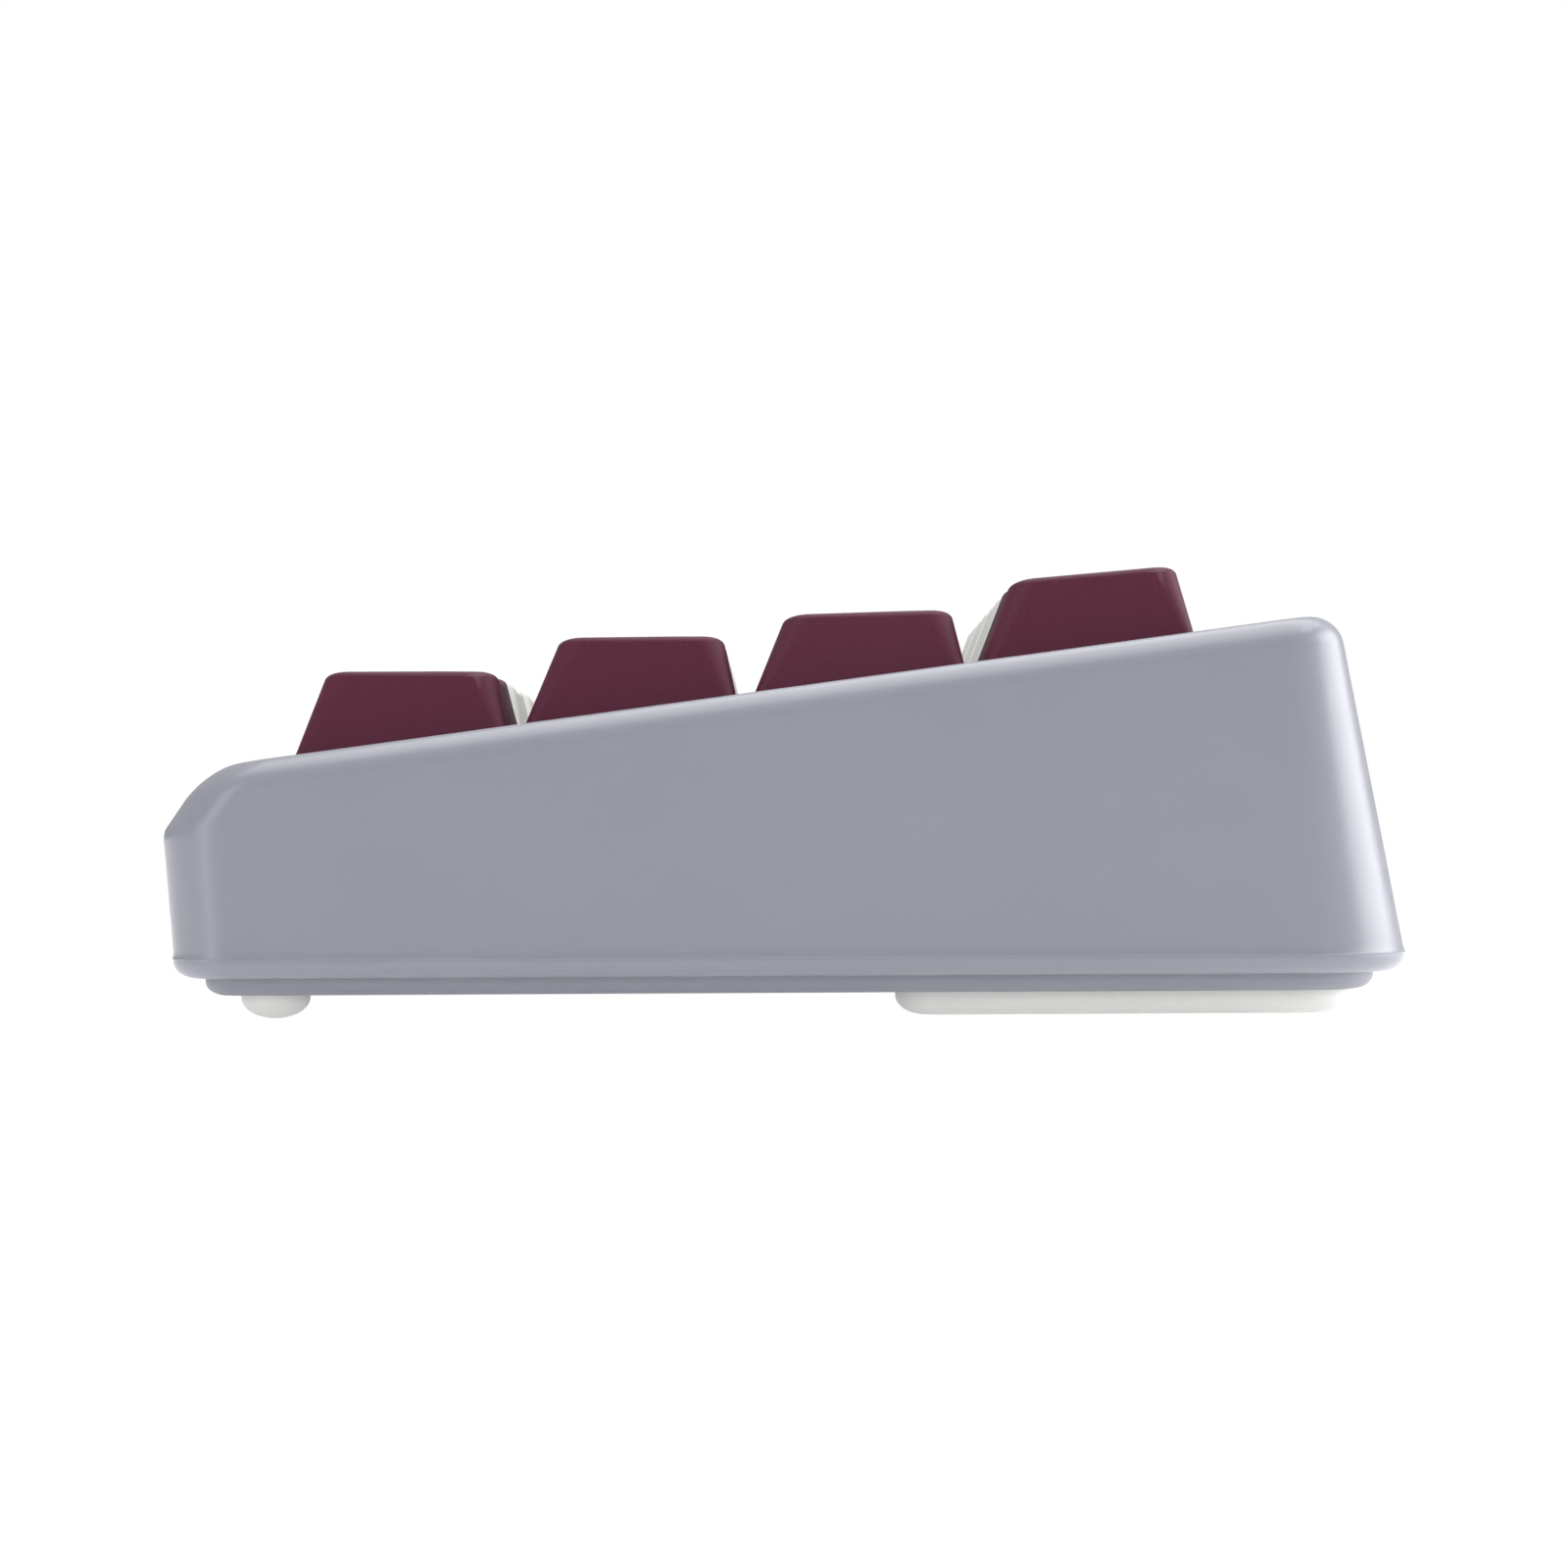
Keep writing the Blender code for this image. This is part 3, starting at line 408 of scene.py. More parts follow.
def plastic(name, color, roughness, grain, relief, speckle=0.03, wear=0.06, specular=0.5, depth=0.0):
    """Moulded plastic: fine grain, faint clouding and blotches of gloss, and edges rubbed paler.

    grain is the width of its blobs and relief is how far they stand out. speckle is how much they
    change the colour, wear how pale the edges are, and depth the share of light that goes under the skin.
    """
    nodes = Nodes(name)
    clouds = nodes.noise(CLOUD_SIZE, detail=3.0)
    fine = nodes.noise(grain, detail=3.0, roughness=0.6)
    dull, bright = tinted(color, 1 - CLOUDING), tinted(color, 1 + CLOUDING)
    body = nodes.mix(nodes.spread(clouds, 0.0, 1.0), dull, bright)
    dark, light = tinted(color, 1 - speckle), tinted(color, 1 + speckle)
    flecks = nodes.mix(nodes.spread(fine, 0.0, 1.0), dark, light)
    coloured = nodes.mix(0.5, body, flecks)
    rubbed = nodes.combined(nodes.edges(RUBBED_FROM, RUBBED_TO), nodes.spread(clouds, 0.5, 1.0), "MULTIPLY")
    coloured = nodes.mix(rubbed, coloured, lightened(color, wear))
    nodes.link(coloured, nodes.shader.inputs["Base Color"])
    gloss = nodes.noise(GLOSS_SIZE, detail=4.0, roughness=0.6)
    blotched = nodes.spread(gloss, roughness - GLOSS_SPREAD, roughness + GLOSS_SPREAD)
    polish = nodes.combined(rubbed, RUBBED_POLISH, "MULTIPLY")
    nodes.link(nodes.combined(blotched, polish, "SUBTRACT"), nodes.shader.inputs["Roughness"])
    nodes.shader.inputs["Specular IOR Level"].default_value = specular
    nodes.shader.inputs["Subsurface Weight"].default_value = depth
    nodes.shader.inputs["Subsurface Radius"].default_value = (1.0, 1.0, 1.0)
    nodes.shader.inputs["Subsurface Scale"].default_value = SKIN_DEPTH
    nodes.bump(fine, relief)
    return nodes.material


def metal(name, color, roughness, streak, stretch):
    """Rolled or plated metal with streaks along one axis and faint tarnish."""
    nodes = Nodes(name)
    mapping = nodes.tree.nodes.new("ShaderNodeMapping")
    mapping.inputs["Scale"].default_value = stretch
    nodes.link(nodes.place, mapping.inputs["Vector"])
    nodes.place = mapping.outputs["Vector"]
    streaks = nodes.noise(streak, detail=3.0, roughness=0.6)
    tarnish = nodes.noise(TARNISH_SIZE, detail=4.0)
    coloured = nodes.mix(nodes.spread(tarnish, 0.0, 1.0), tinted(color, 0.9), tinted(color, 1.05))
    nodes.link(coloured, nodes.shader.inputs["Base Color"])
    nodes.link(nodes.spread(streaks, roughness - 0.08, roughness + 0.1), nodes.shader.inputs["Roughness"])
    nodes.shader.inputs["Metallic"].default_value = 1.0
    nodes.bump(streaks, STREAK_RELIEF)
    return nodes.material


CASE_GREY = (0.178, 0.182, 0.213)
PLUM = (0.058, 0.003, 0.0185)
OFF_WHITE = (0.5, 0.5, 0.48)
INK_WHITE = (0.72, 0.72, 0.71)
FOOT_WHITE = (0.56, 0.565, 0.545)
HOUSING_BLACK = (0.02, 0.02, 0.023)
TONGUE_BLACK = (0.015, 0.015, 0.017)
STEM_RED = (0.5, 0.035, 0.03)
BOARD_GREEN = (0.015, 0.085, 0.04)
MATERIALS = {
    "case": plastic(
        "case_satin", CASE_GREY, 0.34, 0.18 * MM, 0.004 * MM, speckle=0.015, wear=0.05, depth=0.12
    ),
    "base": plastic(
        "base_satin", CASE_GREY, 0.5, 0.22 * MM, 0.008 * MM, speckle=0.02, wear=0.05, depth=0.12
    ),
    "cap_plum": plastic(
        "cap_plum_grained", PLUM, 0.55, 0.16 * MM, 0.022 * MM, speckle=0.3, wear=0.035, specular=0.2
    ),
    "cap_white": plastic("cap_white_grained", OFF_WHITE, 0.55, 0.16 * MM, 0.02 * MM, wear=0.1),
    "ink_dark": plastic("legend_plum", PLUM, 0.5, 0.12 * MM, 0.004 * MM, speckle=0.1, wear=0.02),
    "ink_light": plastic("legend_white", INK_WHITE, 0.5, 0.12 * MM, 0.004 * MM, speckle=0.02, wear=0.02),
    "stem": plastic("stem_red", STEM_RED, 0.32, 0.1 * MM, 0.003 * MM),
    "housing": plastic("housing_black", HOUSING_BLACK, 0.42, 0.14 * MM, 0.01 * MM, speckle=0.15),
    "board": plastic("board_mask", BOARD_GREEN, 0.3, 0.5 * MM, 0.01 * MM, speckle=0.08),
    "tongue": plastic("tongue_black", TONGUE_BLACK, 0.4, 0.1 * MM, 0.003 * MM),
    "rubber": plastic(
        "foot_rubber", FOOT_WHITE, 0.62, 0.12 * MM, 0.012 * MM, speckle=0.02, wear=0.1, depth=0.2
    ),
    "plate": metal("plate_brushed", (0.55, 0.56, 0.58), 0.34, 0.4 * MM, (0.04, 1.0, 1.0)),
    "steel": metal("plated_steel", (0.6, 0.6, 0.6), 0.26, 0.3 * MM, (1.0, 0.3, 1.0)),
    "gold": metal("contact_gold", (0.78, 0.56, 0.25), 0.25, 0.2 * MM, (1.0, 0.3, 1.0)),
}


# Upper case


def on_deck(ring):
    """Points on the key deck, whose XY plane is the rim, turned into the row frame."""
    return [DECK_PLACE @ Vector(point) for point in ring]


def ridge_ring(height, inset=0.0):
    points = outline(
        CASE_HALF_X - inset,
        RIDGE_FRONT + inset,
        RIDGE_BACK - inset,
        FRONT_CORNER - inset,
        BACK_CORNER_LOW - inset,
        CORNER_STEPS,
    )
    return level_ring(points, height)


def back_of_case(plane_height):
    run = BACK_SLOPE * (plane_height - RIDGE_HEIGHT)
    return (RIDGE_BACK - run) / (1 + BACK_SLOPE * DECK_RISE)


def sloping_ring(front, plane_height, back_corner, inset=0.0):
    """A ring on a plane that is parallel to the rim."""
    points = outline(
        CASE_HALF_X - inset,
        front + inset,
        back_of_case(plane_height) - inset,
        FRONT_CORNER - inset,
        back_corner - inset,
        CORNER_STEPS,
    )
    ring = [Vector((x, y, plane_height + y * DECK_RISE)) for x, y in points]
    return drafted(ring, SIDE_DRAFT, RIDGE_HEIGHT)


def shoulder_corner():
    rim_share = 1 - SHOULDER_DROP / (RIM_HEIGHT - RIDGE_HEIGHT)
    return BACK_CORNER_LOW + (BACK_CORNER_HIGH - BACK_CORNER_LOW) * rim_share


def well_ring(height, growth=0.0):
    points = outline(
        WELL_HALF + growth,
        FIELD_SHIFT - WELL_HALF - growth,
        FIELD_SHIFT + WELL_HALF + growth,
        WELL_CORNER + growth,
        WELL_CORNER + growth,
        CORNER_STEPS,
    )
    return on_deck(level_ring(points, height))


def outer_rings():
    """The outside of the case, from under its lower edge to its rim."""
    shoulder = sloping_ring(SHOULDER_FRONT, RIM_HEIGHT - SHOULDER_DROP, shoulder_corner())
    rim = sloping_ring(RIM_FRONT, RIM_HEIGHT, BACK_CORNER_HIGH)
    rings = round_over(
        ridge_ring(CASE_BOTTOM, FOOT_REACH),
        ridge_ring(CASE_BOTTOM, RIDGE_LIP),
        ridge_ring(CASE_BOTTOM + FOOT_RISE, RIDGE_LIP),
        EDGE_STEPS,
    )
    rings.append(ridge_ring(RIDGE_HEIGHT - RIDGE_LIP, RIDGE_LIP))
    wall_foot = ridge_ring(RIDGE_HEIGHT, RIDGE_FLARE)
    flare_end = [foot.lerp(top, FLARE_HEIGHT / (top.z - foot.z)) for foot, top in zip(wall_foot, shoulder)]
    rings += round_over(ridge_ring(RIDGE_HEIGHT), wall_foot, flare_end, EDGE_STEPS)
    rim_inside = sloping_ring(RIM_FRONT, RIM_HEIGHT, BACK_CORNER_HIGH, RIM_RADIUS)
    rim_start = between(rim, shoulder, RIM_RADIUS / SHOULDER_DROP)
    rings += round_over(
        between(shoulder, wall_foot, SHOULDER_SHARE),
        shoulder,
        between(shoulder, rim_start, 2 * SHOULDER_SHARE),
        EDGE_STEPS,
    )
    return rings + round_over(rim_start, rim, rim_inside, 2 * EDGE_STEPS)


def inner_rings():
    """From the rim's inner edge down the key well, round its sleeve and down inside the walls."""
    skin_drop = RIM_SKIN / math.cos(DECK_TILT)
    rings = round_over(well_ring(0, WELL_EDGE), well_ring(0), well_ring(-WELL_EDGE), EDGE_STEPS)
    rings += [
        well_ring(SLEEVE_BOTTOM),
        well_ring(SLEEVE_BOTTOM, SLEEVE_WALL),
        well_ring(-RIM_SKIN, SLEEVE_WALL),
        sloping_ring(RIM_FRONT, RIM_HEIGHT - skin_drop, BACK_CORNER_HIGH, WALL),
        sloping_ring(SHOULDER_FRONT, RIM_HEIGHT - SHOULDER_DROP - skin_drop / 2, shoulder_corner(), WALL),
        ridge_ring(RIDGE_HEIGHT, WALL),
        ridge_ring(CASE_BOTTOM, WALL),
    ]
    return rings


def wall_distance(level):
    """Y on the deck where the back wall's outer face is, at a level on the deck."""
    plane_height = RIM_HEIGHT + level / math.cos(DECK_TILT)
    return (back_of_case(plane_height) + level * math.sin(DECK_TILT)) / math.cos(DECK_TILT)


def end_outline(half_width, half_height):
    return outline(
        half_width,
        -half_height,
        half_height,
        half_height * ALMOST_ALL,
        half_height * ALMOST_ALL,
        END_STEPS,
    )


def along_port(half_width, half_height, distance, lean=0.0):
    """A ring across the port's axis, at a Y on the deck. Lean tilts it to follow the back wall."""
    points = end_outline(half_width, half_height)
    return on_deck([(x, distance - lean * z, USB_LEVEL + z) for x, z in points])


def port_cutter():
    """The port in the back wall, flared where it opens."""
    lean = math.tan(math.atan(BACK_SLOPE) - DECK_TILT)
    outside = wall_distance(USB_LEVEL)
    half_width, half_height = PORT_WIDTH / 2, PORT_HEIGHT / 2
    start = along_port(half_width, half_height, outside - PORT_FLARE, lean)
    corner = along_port(half_width, half_height, outside, lean)
    end = along_port(half_width + PORT_FLARE, half_height + PORT_FLARE, outside, lean)
    rings = [along_port(half_width, half_height, outside - WALL - OVERSHOOT, lean)]
    rings += round_over(start, corner, end, EDGE_STEPS // 2)
    mouth_width, mouth_height = half_width + PORT_FLARE, half_height + PORT_FLARE
    rings.append(along_port(mouth_width, mouth_height, outside + OVERSHOOT, lean))
    return new_object("port_cutter", loft(rings))


def make_case():
    case = new_object("case_shell", loft(outer_rings() + inner_rings(), closed=True))
    cut(case, port_cutter())
    smooth(case)
    add_piece(case, "case", "case", MATERIALS["case"], "upper_case")


# Base plate, screws and feet


def middle_of(node):
    low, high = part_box(node)
    return (low + high) / 2


def upright(points, centre, low, high):
    rings = [[Vector((x + centre.x, y + centre.y, height)) for x, y in points] for height in (low, high)]
    return new_object("cutter", loft(rings))


def bar_outline(node, growth=0.0):
    low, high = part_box(node)
    half_x = BAR_WIDTH / 2 + growth
    half_y = (high.y - low.y) / 2 + growth
    return outline(half_x, -half_y, half_y, half_x * ALMOST_ALL, half_x * ALMOST_ALL, END_STEPS)


def foot_pocket(node):
    if node in DOME_FEET:
        return circle(DOME_RADIUS + POCKET_GAP, ROUND_SIDES)
    return bar_outline(node, POCKET_GAP)


def make_base():
    rings = round_over(
        ridge_ring(BASE_BOTTOM, BASE_INSET + BASE_REACH),
        ridge_ring(BASE_BOTTOM, BASE_INSET),
        ridge_ring(BASE_BOTTOM + BASE_RISE, BASE_INSET),
        EDGE_STEPS,
    )
    rings += [
        ridge_ring(BASE_RIM_TOP, BASE_INSET),
        ridge_ring(BASE_RIM_TOP, WALL + SEAT_GAP),
        ridge_ring(BASE_TOP, WALL + SEAT_GAP),
    ]
    base = new_object("base_shell", loft(rings))
    cutters = []
    low = BASE_BOTTOM - OVERSHOOT
    for node in DOME_FEET + BAR_FEET:
        cutters.append(upright(foot_pocket(node), middle_of(node), low, BASE_BOTTOM + FOOT_POCKET))
    for node in SCREWS:
        head_room = BASE_BOTTOM + SCREW_HEAD_HEIGHT + 2 * SEAT_GAP
        points = circle(SCREW_HEAD_RADIUS + SEAT_GAP, ROUND_SIDES)
        cutters.append(upright(points, middle_of(node), low, head_room))
    cut(base, *cutters)
    smooth(base)
    add_piece(base, "case", "case", MATERIALS["base"], "base_plate")


def turned(profile, centre):
    """Rings round a vertical axis from (radius, height) points, lowest first."""
    rings = []
    for radius, height in profile:
        points = circle(max(radius, SMALLEST_RADIUS), ROUND_SIDES)
        rings.append([Vector((centre.x + x, centre.y + y, height)) for x, y in points])
    return rings


def arc_profile(start, corner, end, steps):
    rings = round_over([Vector((*start, 0))], [Vector((*corner, 0))], [Vector((*end, 0))], steps)
    return [tuple(ring[0].xy) for ring in rings]


def dome_rings(node, top):
    profile = arc_profile((0, 0), (DOME_RADIUS, 0), (DOME_RADIUS, DOME_RISE), 2 * EDGE_STEPS)
    return turned(profile + [(DOME_RADIUS, top)], middle_of(node))


def bar_rings(node, top):
    centre = middle_of(node)
    outlines = [
        [Vector((x + centre.x, y + centre.y, height)) for x, y in bar_outline(node, -inset)]
        for height, inset in ((0, BAR_REACH), (0, 0), (BAR_RISE, 0), (top, 0))
    ]
    return round_over(*outlines[:3], EDGE_STEPS) + [outlines[3]]


def make_feet():
    top = BASE_BOTTOM + FOOT_POCKET - POCKET_GAP
    for node in DOME_FEET + BAR_FEET:
        rings = dome_rings(node, top) if node in DOME_FEET else bar_rings(node, top)
        foot = new_object(node.replace("foot", "pad"), loft(rings))
        smooth(foot)
        add_piece(foot, "case", "rubber", MATERIALS["rubber"], node)


def make_screws():
    for node in SCREWS:
        centre = middle_of(node)
        low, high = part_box(node)
        head_top = low.z + SCREW_HEAD_HEIGHT
        edge = arc_profile(
            (SCREW_HEAD_RADIUS - SCREW_EDGE, low.z),
            (SCREW_HEAD_RADIUS, low.z),
            (SCREW_HEAD_RADIUS, low.z + SCREW_EDGE),
            EDGE_STEPS // 2,
        )
        profile = [(0, low.z)] + edge + [(SCREW_HEAD_RADIUS, head_top)]
        profile += [(SCREW_SHANK_RADIUS, head_top), (SCREW_SHANK_RADIUS, high.z)]
        screw = new_object(node.replace("case_screw", "screw"), loft(turned(profile, centre)))
        socket = [
            [Vector((centre.x + x, centre.y + y, height)) for x, y in circle(radius, HEXAGON)]
            for radius, height in (
                (SCREW_SOCKET + SCREW_EDGE, low.z - SCREW_EDGE),
                (SCREW_SOCKET, low.z + SCREW_EDGE / 2),
                (SCREW_SOCKET, low.z + SCREW_SOCKET_DEPTH),
            )
        ]
        cut(screw, new_object("socket_cutter", loft(socket)))
        smooth(screw)
        add_piece(screw, "case", "steel", MATERIALS["steel"], node)


# USB-C receptacle


def make_tongue(rear):
    half_width, half_height = TONGUE_HALF_WIDTH, TONGUE_HALF_HEIGHT
    front = rear + TONGUE_END
    rings = [
        along_port(half_width, half_height, rear + TONGUE_START),
        along_port(half_width, half_height, front - TONGUE_TIP),
        along_port(half_width - TONGUE_TAPER, half_height - TONGUE_TAPER, front),
    ]
    tongue = new_object("usb_tongue", loft(rings))
    smooth(tongue)
    add_piece(tongue, "case", "housing", MATERIALS["tongue"])


def make_contacts(rear):
    """A row of gilt strips on each side of the tongue."""
    contacts = bmesh.new()
    size = Matrix.Diagonal((*CONTACT_SIZE, 1))
    y = rear + TONGUE_END - CONTACT_BACK
    for side in (-1, 1):
        for index in range(CONTACT_COUNT):
            x = (index - (CONTACT_COUNT - 1) / 2) * CONTACT_PITCH
            place = Matrix.Translation((x, y, USB_LEVEL + side * TONGUE_HALF_HEIGHT))
            bmesh.ops.create_cube(contacts, size=1, matrix=DECK_PLACE @ place @ size)
    strips = new_object("usb_contacts", contacts)
    add_piece(strips, "case", "steel", MATERIALS["gold"])


def make_receptacle():
    """A drawn steel shell with a rolled mouth and a tongue that carries gilt contacts."""
    half_width, half_height = USB_WIDTH / 2, USB_HEIGHT / 2
    rear = USB_MOUTH - USB_DEPTH
    mouth_ring = along_port(half_width, half_height, USB_MOUTH)
    room_width, room_height = half_width - USB_SHELL, half_height - USB_SHELL
    rings = [along_port(half_width, half_height, rear)]
    rings += round_over(
        along_port(half_width, half_height, USB_MOUTH - USB_SHELL / 2),
        mouth_ring,
        along_port(half_width - USB_SHELL / 2, half_height - USB_SHELL / 2, USB_MOUTH),
        EDGE_STEPS // 2,
    )
    rings += [
        along_port(room_width, room_height, USB_MOUTH - USB_SHELL / 2),
        along_port(room_width, room_height, rear + USB_FLOOR),
    ]
    shell = new_object("usb_shell", loft(rings))
    smooth(shell)
    add_piece(shell, "case", "steel", MATERIALS["steel"], "usb_c_receptacle")
    make_tongue(rear)
    make_contacts(rear)


# Keycaps


def dish(x):
    """How far the hollow top lies below the top's plane, across its width."""
    half = CAP_TOP_WIDTH / 2 - CAP_EDGE_RADIUS / 2
    share = min(1.0, abs(x) / half)
    return -DISH_DEPTH * (1 - share**2)


def cap_ring(row, height, fall, corner, wall=0.0, inset=0.0, hollow=0.0):
    """A ring round a cap, wall inside its sloping sides and inset further in plan.

    It lies on the plane that is height above the cap's lower edge at the stem and falls towards the
    back. hollow is the share of the dish that it follows.
    """
    half = CAP_BASE / 2 - wall
    side_slope = (CAP_BASE - CAP_TOP_WIDTH) / 2 / CAP_HEIGHTS[row]
    half_here = half - side_slope * height - inset
    front = (height * CAP_FRONT_SLOPES[row] - half) / (1 + fall * CAP_FRONT_SLOPES[row])
    back = (half - height * CAP_BACK_SLOPE) / (1 - fall * CAP_BACK_SLOPE)
    corner = max(corner - inset, SMALLEST_CORNER)
    points = outline(
        half_here,
        front + inset,
        back - inset,
        corner,
        corner,
        CAP_CORNER_STEPS,
        CAP_SIDE_STEPS,
    )
    widening = side_slope * fall / half_here
    ring = [Vector((x * (1 + widening * y), y, height - fall * y)) for x, y in points]
    middle = (front + back) / 2
    for point in ring:
        drop = hollow * dish(point.x)
        share = (point.y - middle) / (back - middle)
        slope = -CAP_BACK_SLOPE * share if share > 0 else -CAP_FRONT_SLOPES[row] * share
        point.z += drop
        point.y += drop * slope
    return ring


def cap_rings(row):
    """One closed skin, from the ceiling inside, round the lower edge and up over the hollow top."""
    height = CAP_HEIGHTS[row]
    fall = math.tan(CAP_TILTS[row])
    rings = [
        cap_ring(row, CAP_CEILING, 0, CAP_BASE_RADIUS, CAP_WALL, inset=CEILING_INSET),
        cap_ring(row, CAP_CEILING, 0, CAP_BASE_RADIUS, CAP_WALL),
        cap_ring(row, 0, 0, CAP_BASE_RADIUS, CAP_WALL),
    ]
    rings += round_over(
        cap_ring(row, 0, 0, CAP_BASE_RADIUS, CAP_LOWER_EDGE),
        cap_ring(row, 0, 0, CAP_BASE_RADIUS),
        cap_ring(row, CAP_LOWER_EDGE, 0, CAP_BASE_RADIUS),
        CAP_LOWER_STEPS,
    )
    top_start = cap_ring(row, height - CAP_EDGE_RADIUS, fall, CAP_TOP_RADIUS, hollow=1)
    rings += [between(rings[-1], top_start, share) for share in CAP_SIDE_SHARES]
    rings += round_over(
        top_start,
        cap_ring(row, height, fall, CAP_TOP_RADIUS, hollow=1),
        cap_ring(row, height, fall, CAP_TOP_RADIUS, inset=CAP_EDGE_RADIUS, hollow=1),
        CAP_EDGE_STEPS,
    )
    for step in range(1, CAP_TOP_RINGS + 1):
        inset = CAP_EDGE_RADIUS + (NARROWEST_TOP - CAP_EDGE_RADIUS) * step / CAP_TOP_RINGS
        rings.append(cap_ring(row, height, fall, CAP_TOP_RADIUS, inset=inset, hollow=1))
    return rings


def key_matrix(row, column):
    """The place of a resting cap, from the middle of its lower edge."""
    x = column * PITCH - FIELD_HALF
    y = FIELD_SHIFT + row * PITCH - FIELD_HALF
    return DECK_PLACE @ Matrix.Translation((x, y, -CAP_SINK))


def top_middle(row):
    """Y of the middle of a cap's top."""
    ring = cap_ring(row, CAP_HEIGHTS[row], math.tan(CAP_TILTS[row]), CAP_TOP_RADIUS)
    return (min(p.y for p in ring) + max(p.y for p in ring)) / 2


def flat_text(name):
    """A bmesh of a key's digit or sign, cut into narrow strips so that it can bend."""
    curve = bpy.data.curves.new(f"text_{name}", "FONT")
    curve.body = SIGNS.get(name, name)
    curve.size = LEGEND_SIZE
    curve.align_x = "CENTER"
    curve.align_y = "CENTER"
    curve.resolution_u = TEXT_STEPS
    text = bpy.data.objects.new(f"text_{name}", curve)
    bpy.context.scene.collection.objects.link(text)
    bpy.context.view_layer.update()
    data = bpy.data.meshes.new_from_object(text.evaluated_get(bpy.context.evaluated_depsgraph_get()))
    bpy.data.objects.remove(text, do_unlink=True)
    mesh = bmesh.new()
    mesh.from_mesh(data)
    bmesh.ops.remove_doubles(mesh, verts=mesh.verts, dist=TEXT_JOIN)
    slices = int(CAP_TOP_WIDTH / 2 / LEGEND_SLICE)
    for step in range(-slices, slices + 1):
        geometry = mesh.verts[:] + mesh.edges[:] + mesh.faces[:]
        place = (step * LEGEND_SLICE, 0, 0)
        bmesh.ops.bisect_plane(
            mesh, geom=geometry, plane_co=place, plane_no=(1, 0, 0), dist=CUT_DISTANCE
        )
    return mesh


def legend(name, row, matrix, material, body):
    """A printed digit or sign, laid on the hollow top."""
    mesh = flat_text(name)
    fall = math.tan(CAP_TILTS[row])
    middle = top_middle(row) + LEGEND_BACK
    for vertex in mesh.verts:
        y = vertex.co.y + middle
        z = CAP_HEIGHTS[row] - fall * y + dish(vertex.co.x) + LEGEND_RAISE
        vertex.co = matrix @ Vector((vertex.co.x, y, z))
    obj = new_object(f"legend_{name}", mesh)
    thick = obj.modifiers.new("ink", "SOLIDIFY")
    thick.thickness = 3 * LEGEND_RAISE
    thick.offset = -1
    slot = "cap_plum" if material == "ink_dark" else "cap_white"
    return add_piece(obj, body, slot, MATERIALS[material])


def make_keys():
    for row, names in enumerate(KEY_NAMES):
        for column, name in enumerate(names):
            operator = column == len(names) - 1
            finish = "cap_plum" if operator else "cap_white"
            matrix = key_matrix(row, column)
            rings = [[matrix @ point for point in ring] for ring in cap_rings(row)]
            cap = new_object(f"cap_{name}", loft(rings))
            smooth(cap)
            body = f"key_{name}"
            add_piece(cap, body, finish, MATERIALS[finish], f"keycap_{name}")
            legend(name, row, matrix, "ink_light" if operator else "ink_dark", body)


def finish_cad_nodes():
    """The CAD nodes that stay: switches, switch plate and circuit board."""
    finishes = {
        "stem_": "stem",
        "switch_housing_": "housing",
        "switch_plate": "plate",
        "circuit_board": "board",
    }
    for node, obj in frame["nodes"].items():
        for start, finish in finishes.items():
            if node.startswith(start):
                for slot in obj.material_slots:
                    slot.material = MATERIALS[finish]


# Studio


FLOOR_SIZE = 6.0
CARD_DEPTH = 1.0 * MM
WORLD_LEVEL = 0.26
WORLD_TOP = 0.9
CAMERA_PLACE = Vector((0.3376, -0.00026, 0.0136))
CAMERA_LENS = 84.0
CAMERA_SHIFT = 0.041
CAMERA_ROLL = math.radians(-0.31)
SENSOR_WIDTH = 36.0
LIGHT_DISTANCE = 0.9
# (name, azimuth, elevation, width, height, power). Azimuth is counted from +X towards +Y.
LIGHTS = [
    ("right_box", 94, 14, 0.8, 0.8, 15.0),
    ("left_box", -44, 12, 0.2, 0.8, 3.0),
    ("top_box", 150, 80, 1.0, 1.2, 12.0),
]


def make_camera():
    data = bpy.data.cameras.new("camera")
    data.lens = CAMERA_LENS
    data.sensor_width = SENSOR_WIDTH
    data.shift_y = CAMERA_SHIFT
    data.clip_start = 0.01
    data.clip_end = 50.0
    camera = bpy.data.objects.new("camera", data)
    bpy.context.scene.collection.objects.link(camera)
    look = Vector((-1, 0, 0)).to_track_quat("-Z", "Y").to_matrix().to_4x4()
    camera.matrix_world = Matrix.Translation(CAMERA_PLACE) @ look @ Matrix.Rotation(CAMERA_ROLL, 4, "Z")
    bpy.context.scene.camera = camera


def add_softbox(name, azimuth, elevation, width, height, power):
    """An area light that faces the object."""
    turn, rise = math.radians(azimuth), math.radians(elevation)
    level = math.cos(rise)
    away = Vector((math.cos(turn) * level, math.sin(turn) * level, math.sin(rise)))
    data = bpy.data.lights.new(name, "AREA")
    data.shape = "RECTANGLE"
    data.size = width
    data.size_y = height
    data.energy = power
    light = bpy.data.objects.new(name, data)
    bpy.context.scene.collection.objects.link(light)
    light.location = away * LIGHT_DISTANCE
    light.rotation_mode = "QUATERNION"
    light.rotation_quaternion = (-away).to_track_quat("-Z", "Y")


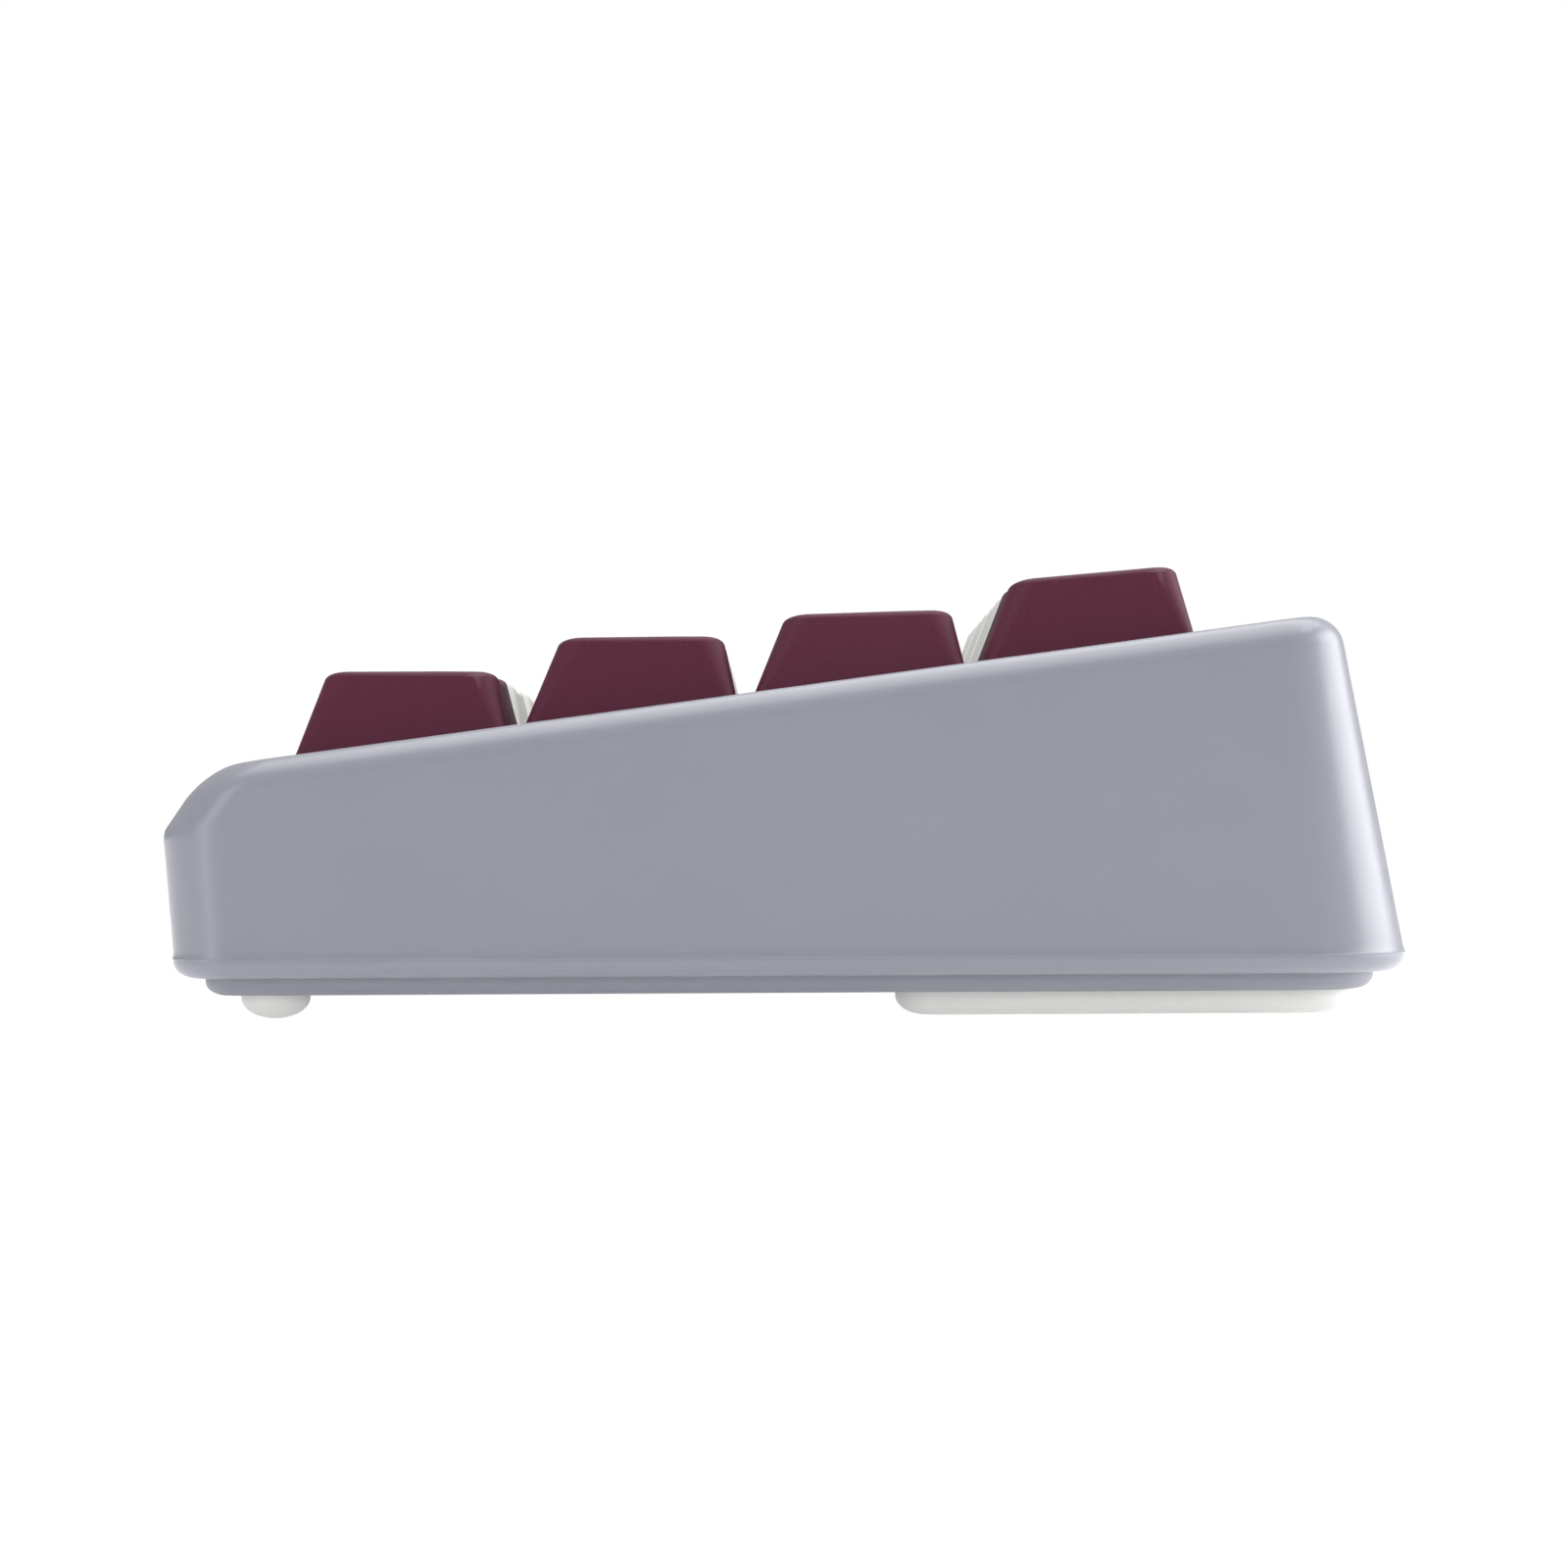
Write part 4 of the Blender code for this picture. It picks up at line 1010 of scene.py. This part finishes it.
def stage_white(obj, brightness, glow, specular=0.5):
    """Gives obj a studio finish: its own grey, and a white glow."""
    material = bpy.data.materials.new(f"{obj.name}_white")
    material.use_nodes = True
    shader = material.node_tree.nodes["Principled BSDF"]
    shader.inputs["Base Color"].default_value = (brightness, brightness, brightness, 1.0)
    shader.inputs["Roughness"].default_value = 0.9
    shader.inputs["Specular IOR Level"].default_value = specular
    shader.inputs["Emission Color"].default_value = (1.0, 1.0, 1.0, 1.0)
    shader.inputs["Emission Strength"].default_value = glow
    obj.data.materials.append(material)


def staged_plane(name, height, brightness, glow):
    mesh = bmesh.new()
    place = Matrix.Translation((0, 0, height))
    bmesh.ops.create_grid(mesh, x_segments=1, y_segments=1, size=FLOOR_SIZE / 2, matrix=place)
    plane = new_object(name, mesh)
    stage_white(plane, brightness, glow)
    return plane


def make_floor():
    """A glowing white table top for the eye, over a white card that only throws light back up."""
    table = staged_plane("floor", 0.0, 0.05, 0.98)
    table.visible_diffuse = False
    table.visible_glossy = False
    table.visible_shadow = False
    card = staged_plane("bounce_card", -CARD_DEPTH, 0.8, 0.56)
    card.visible_camera = False


def make_backdrop():
    """A white dome that is seen behind the object and throws no light on it."""
    mesh = bmesh.new()
    bmesh.ops.create_uvsphere(mesh, u_segments=48, v_segments=24, radius=FLOOR_SIZE)
    dome = new_object("backdrop", mesh)
    stage_white(dome, 0.0, 1.0, specular=0.0)
    dome.visible_diffuse = False
    dome.visible_glossy = False
    dome.visible_transmission = False
    dome.visible_volume_scatter = False
    dome.visible_shadow = False


def make_world():
    """Soft white light all round, strongest from above."""
    world = bpy.data.worlds.new("studio")
    bpy.context.scene.world = world
    world.use_nodes = True
    tree = world.node_tree
    background = tree.nodes["Background"]
    direction = tree.nodes.new("ShaderNodeTexCoord").outputs["Generated"]
    split = tree.nodes.new("ShaderNodeSeparateXYZ")
    tree.links.new(direction, split.inputs["Vector"])
    ramp = tree.nodes.new("ShaderNodeMapRange")
    ramp.inputs["From Min"].default_value = 0.0
    ramp.inputs["From Max"].default_value = 1.0
    ramp.inputs["To Min"].default_value = WORLD_LEVEL
    ramp.inputs["To Max"].default_value = WORLD_TOP
    tree.links.new(split.outputs["Z"], ramp.inputs["Value"])
    tree.links.new(ramp.outputs["Result"], background.inputs["Strength"])
    background.inputs["Color"].default_value = (1.0, 1.0, 1.0, 1.0)


def make_studio():
    make_world()
    make_floor()
    make_backdrop()
    for light in LIGHTS:
        add_softbox(*light)
    bpy.context.scene.view_settings.view_transform = "Standard"
    make_camera()


make_case()
make_base()
make_feet()
make_screws()
make_receptacle()
make_keys()
finish_cad_nodes()
make_studio()
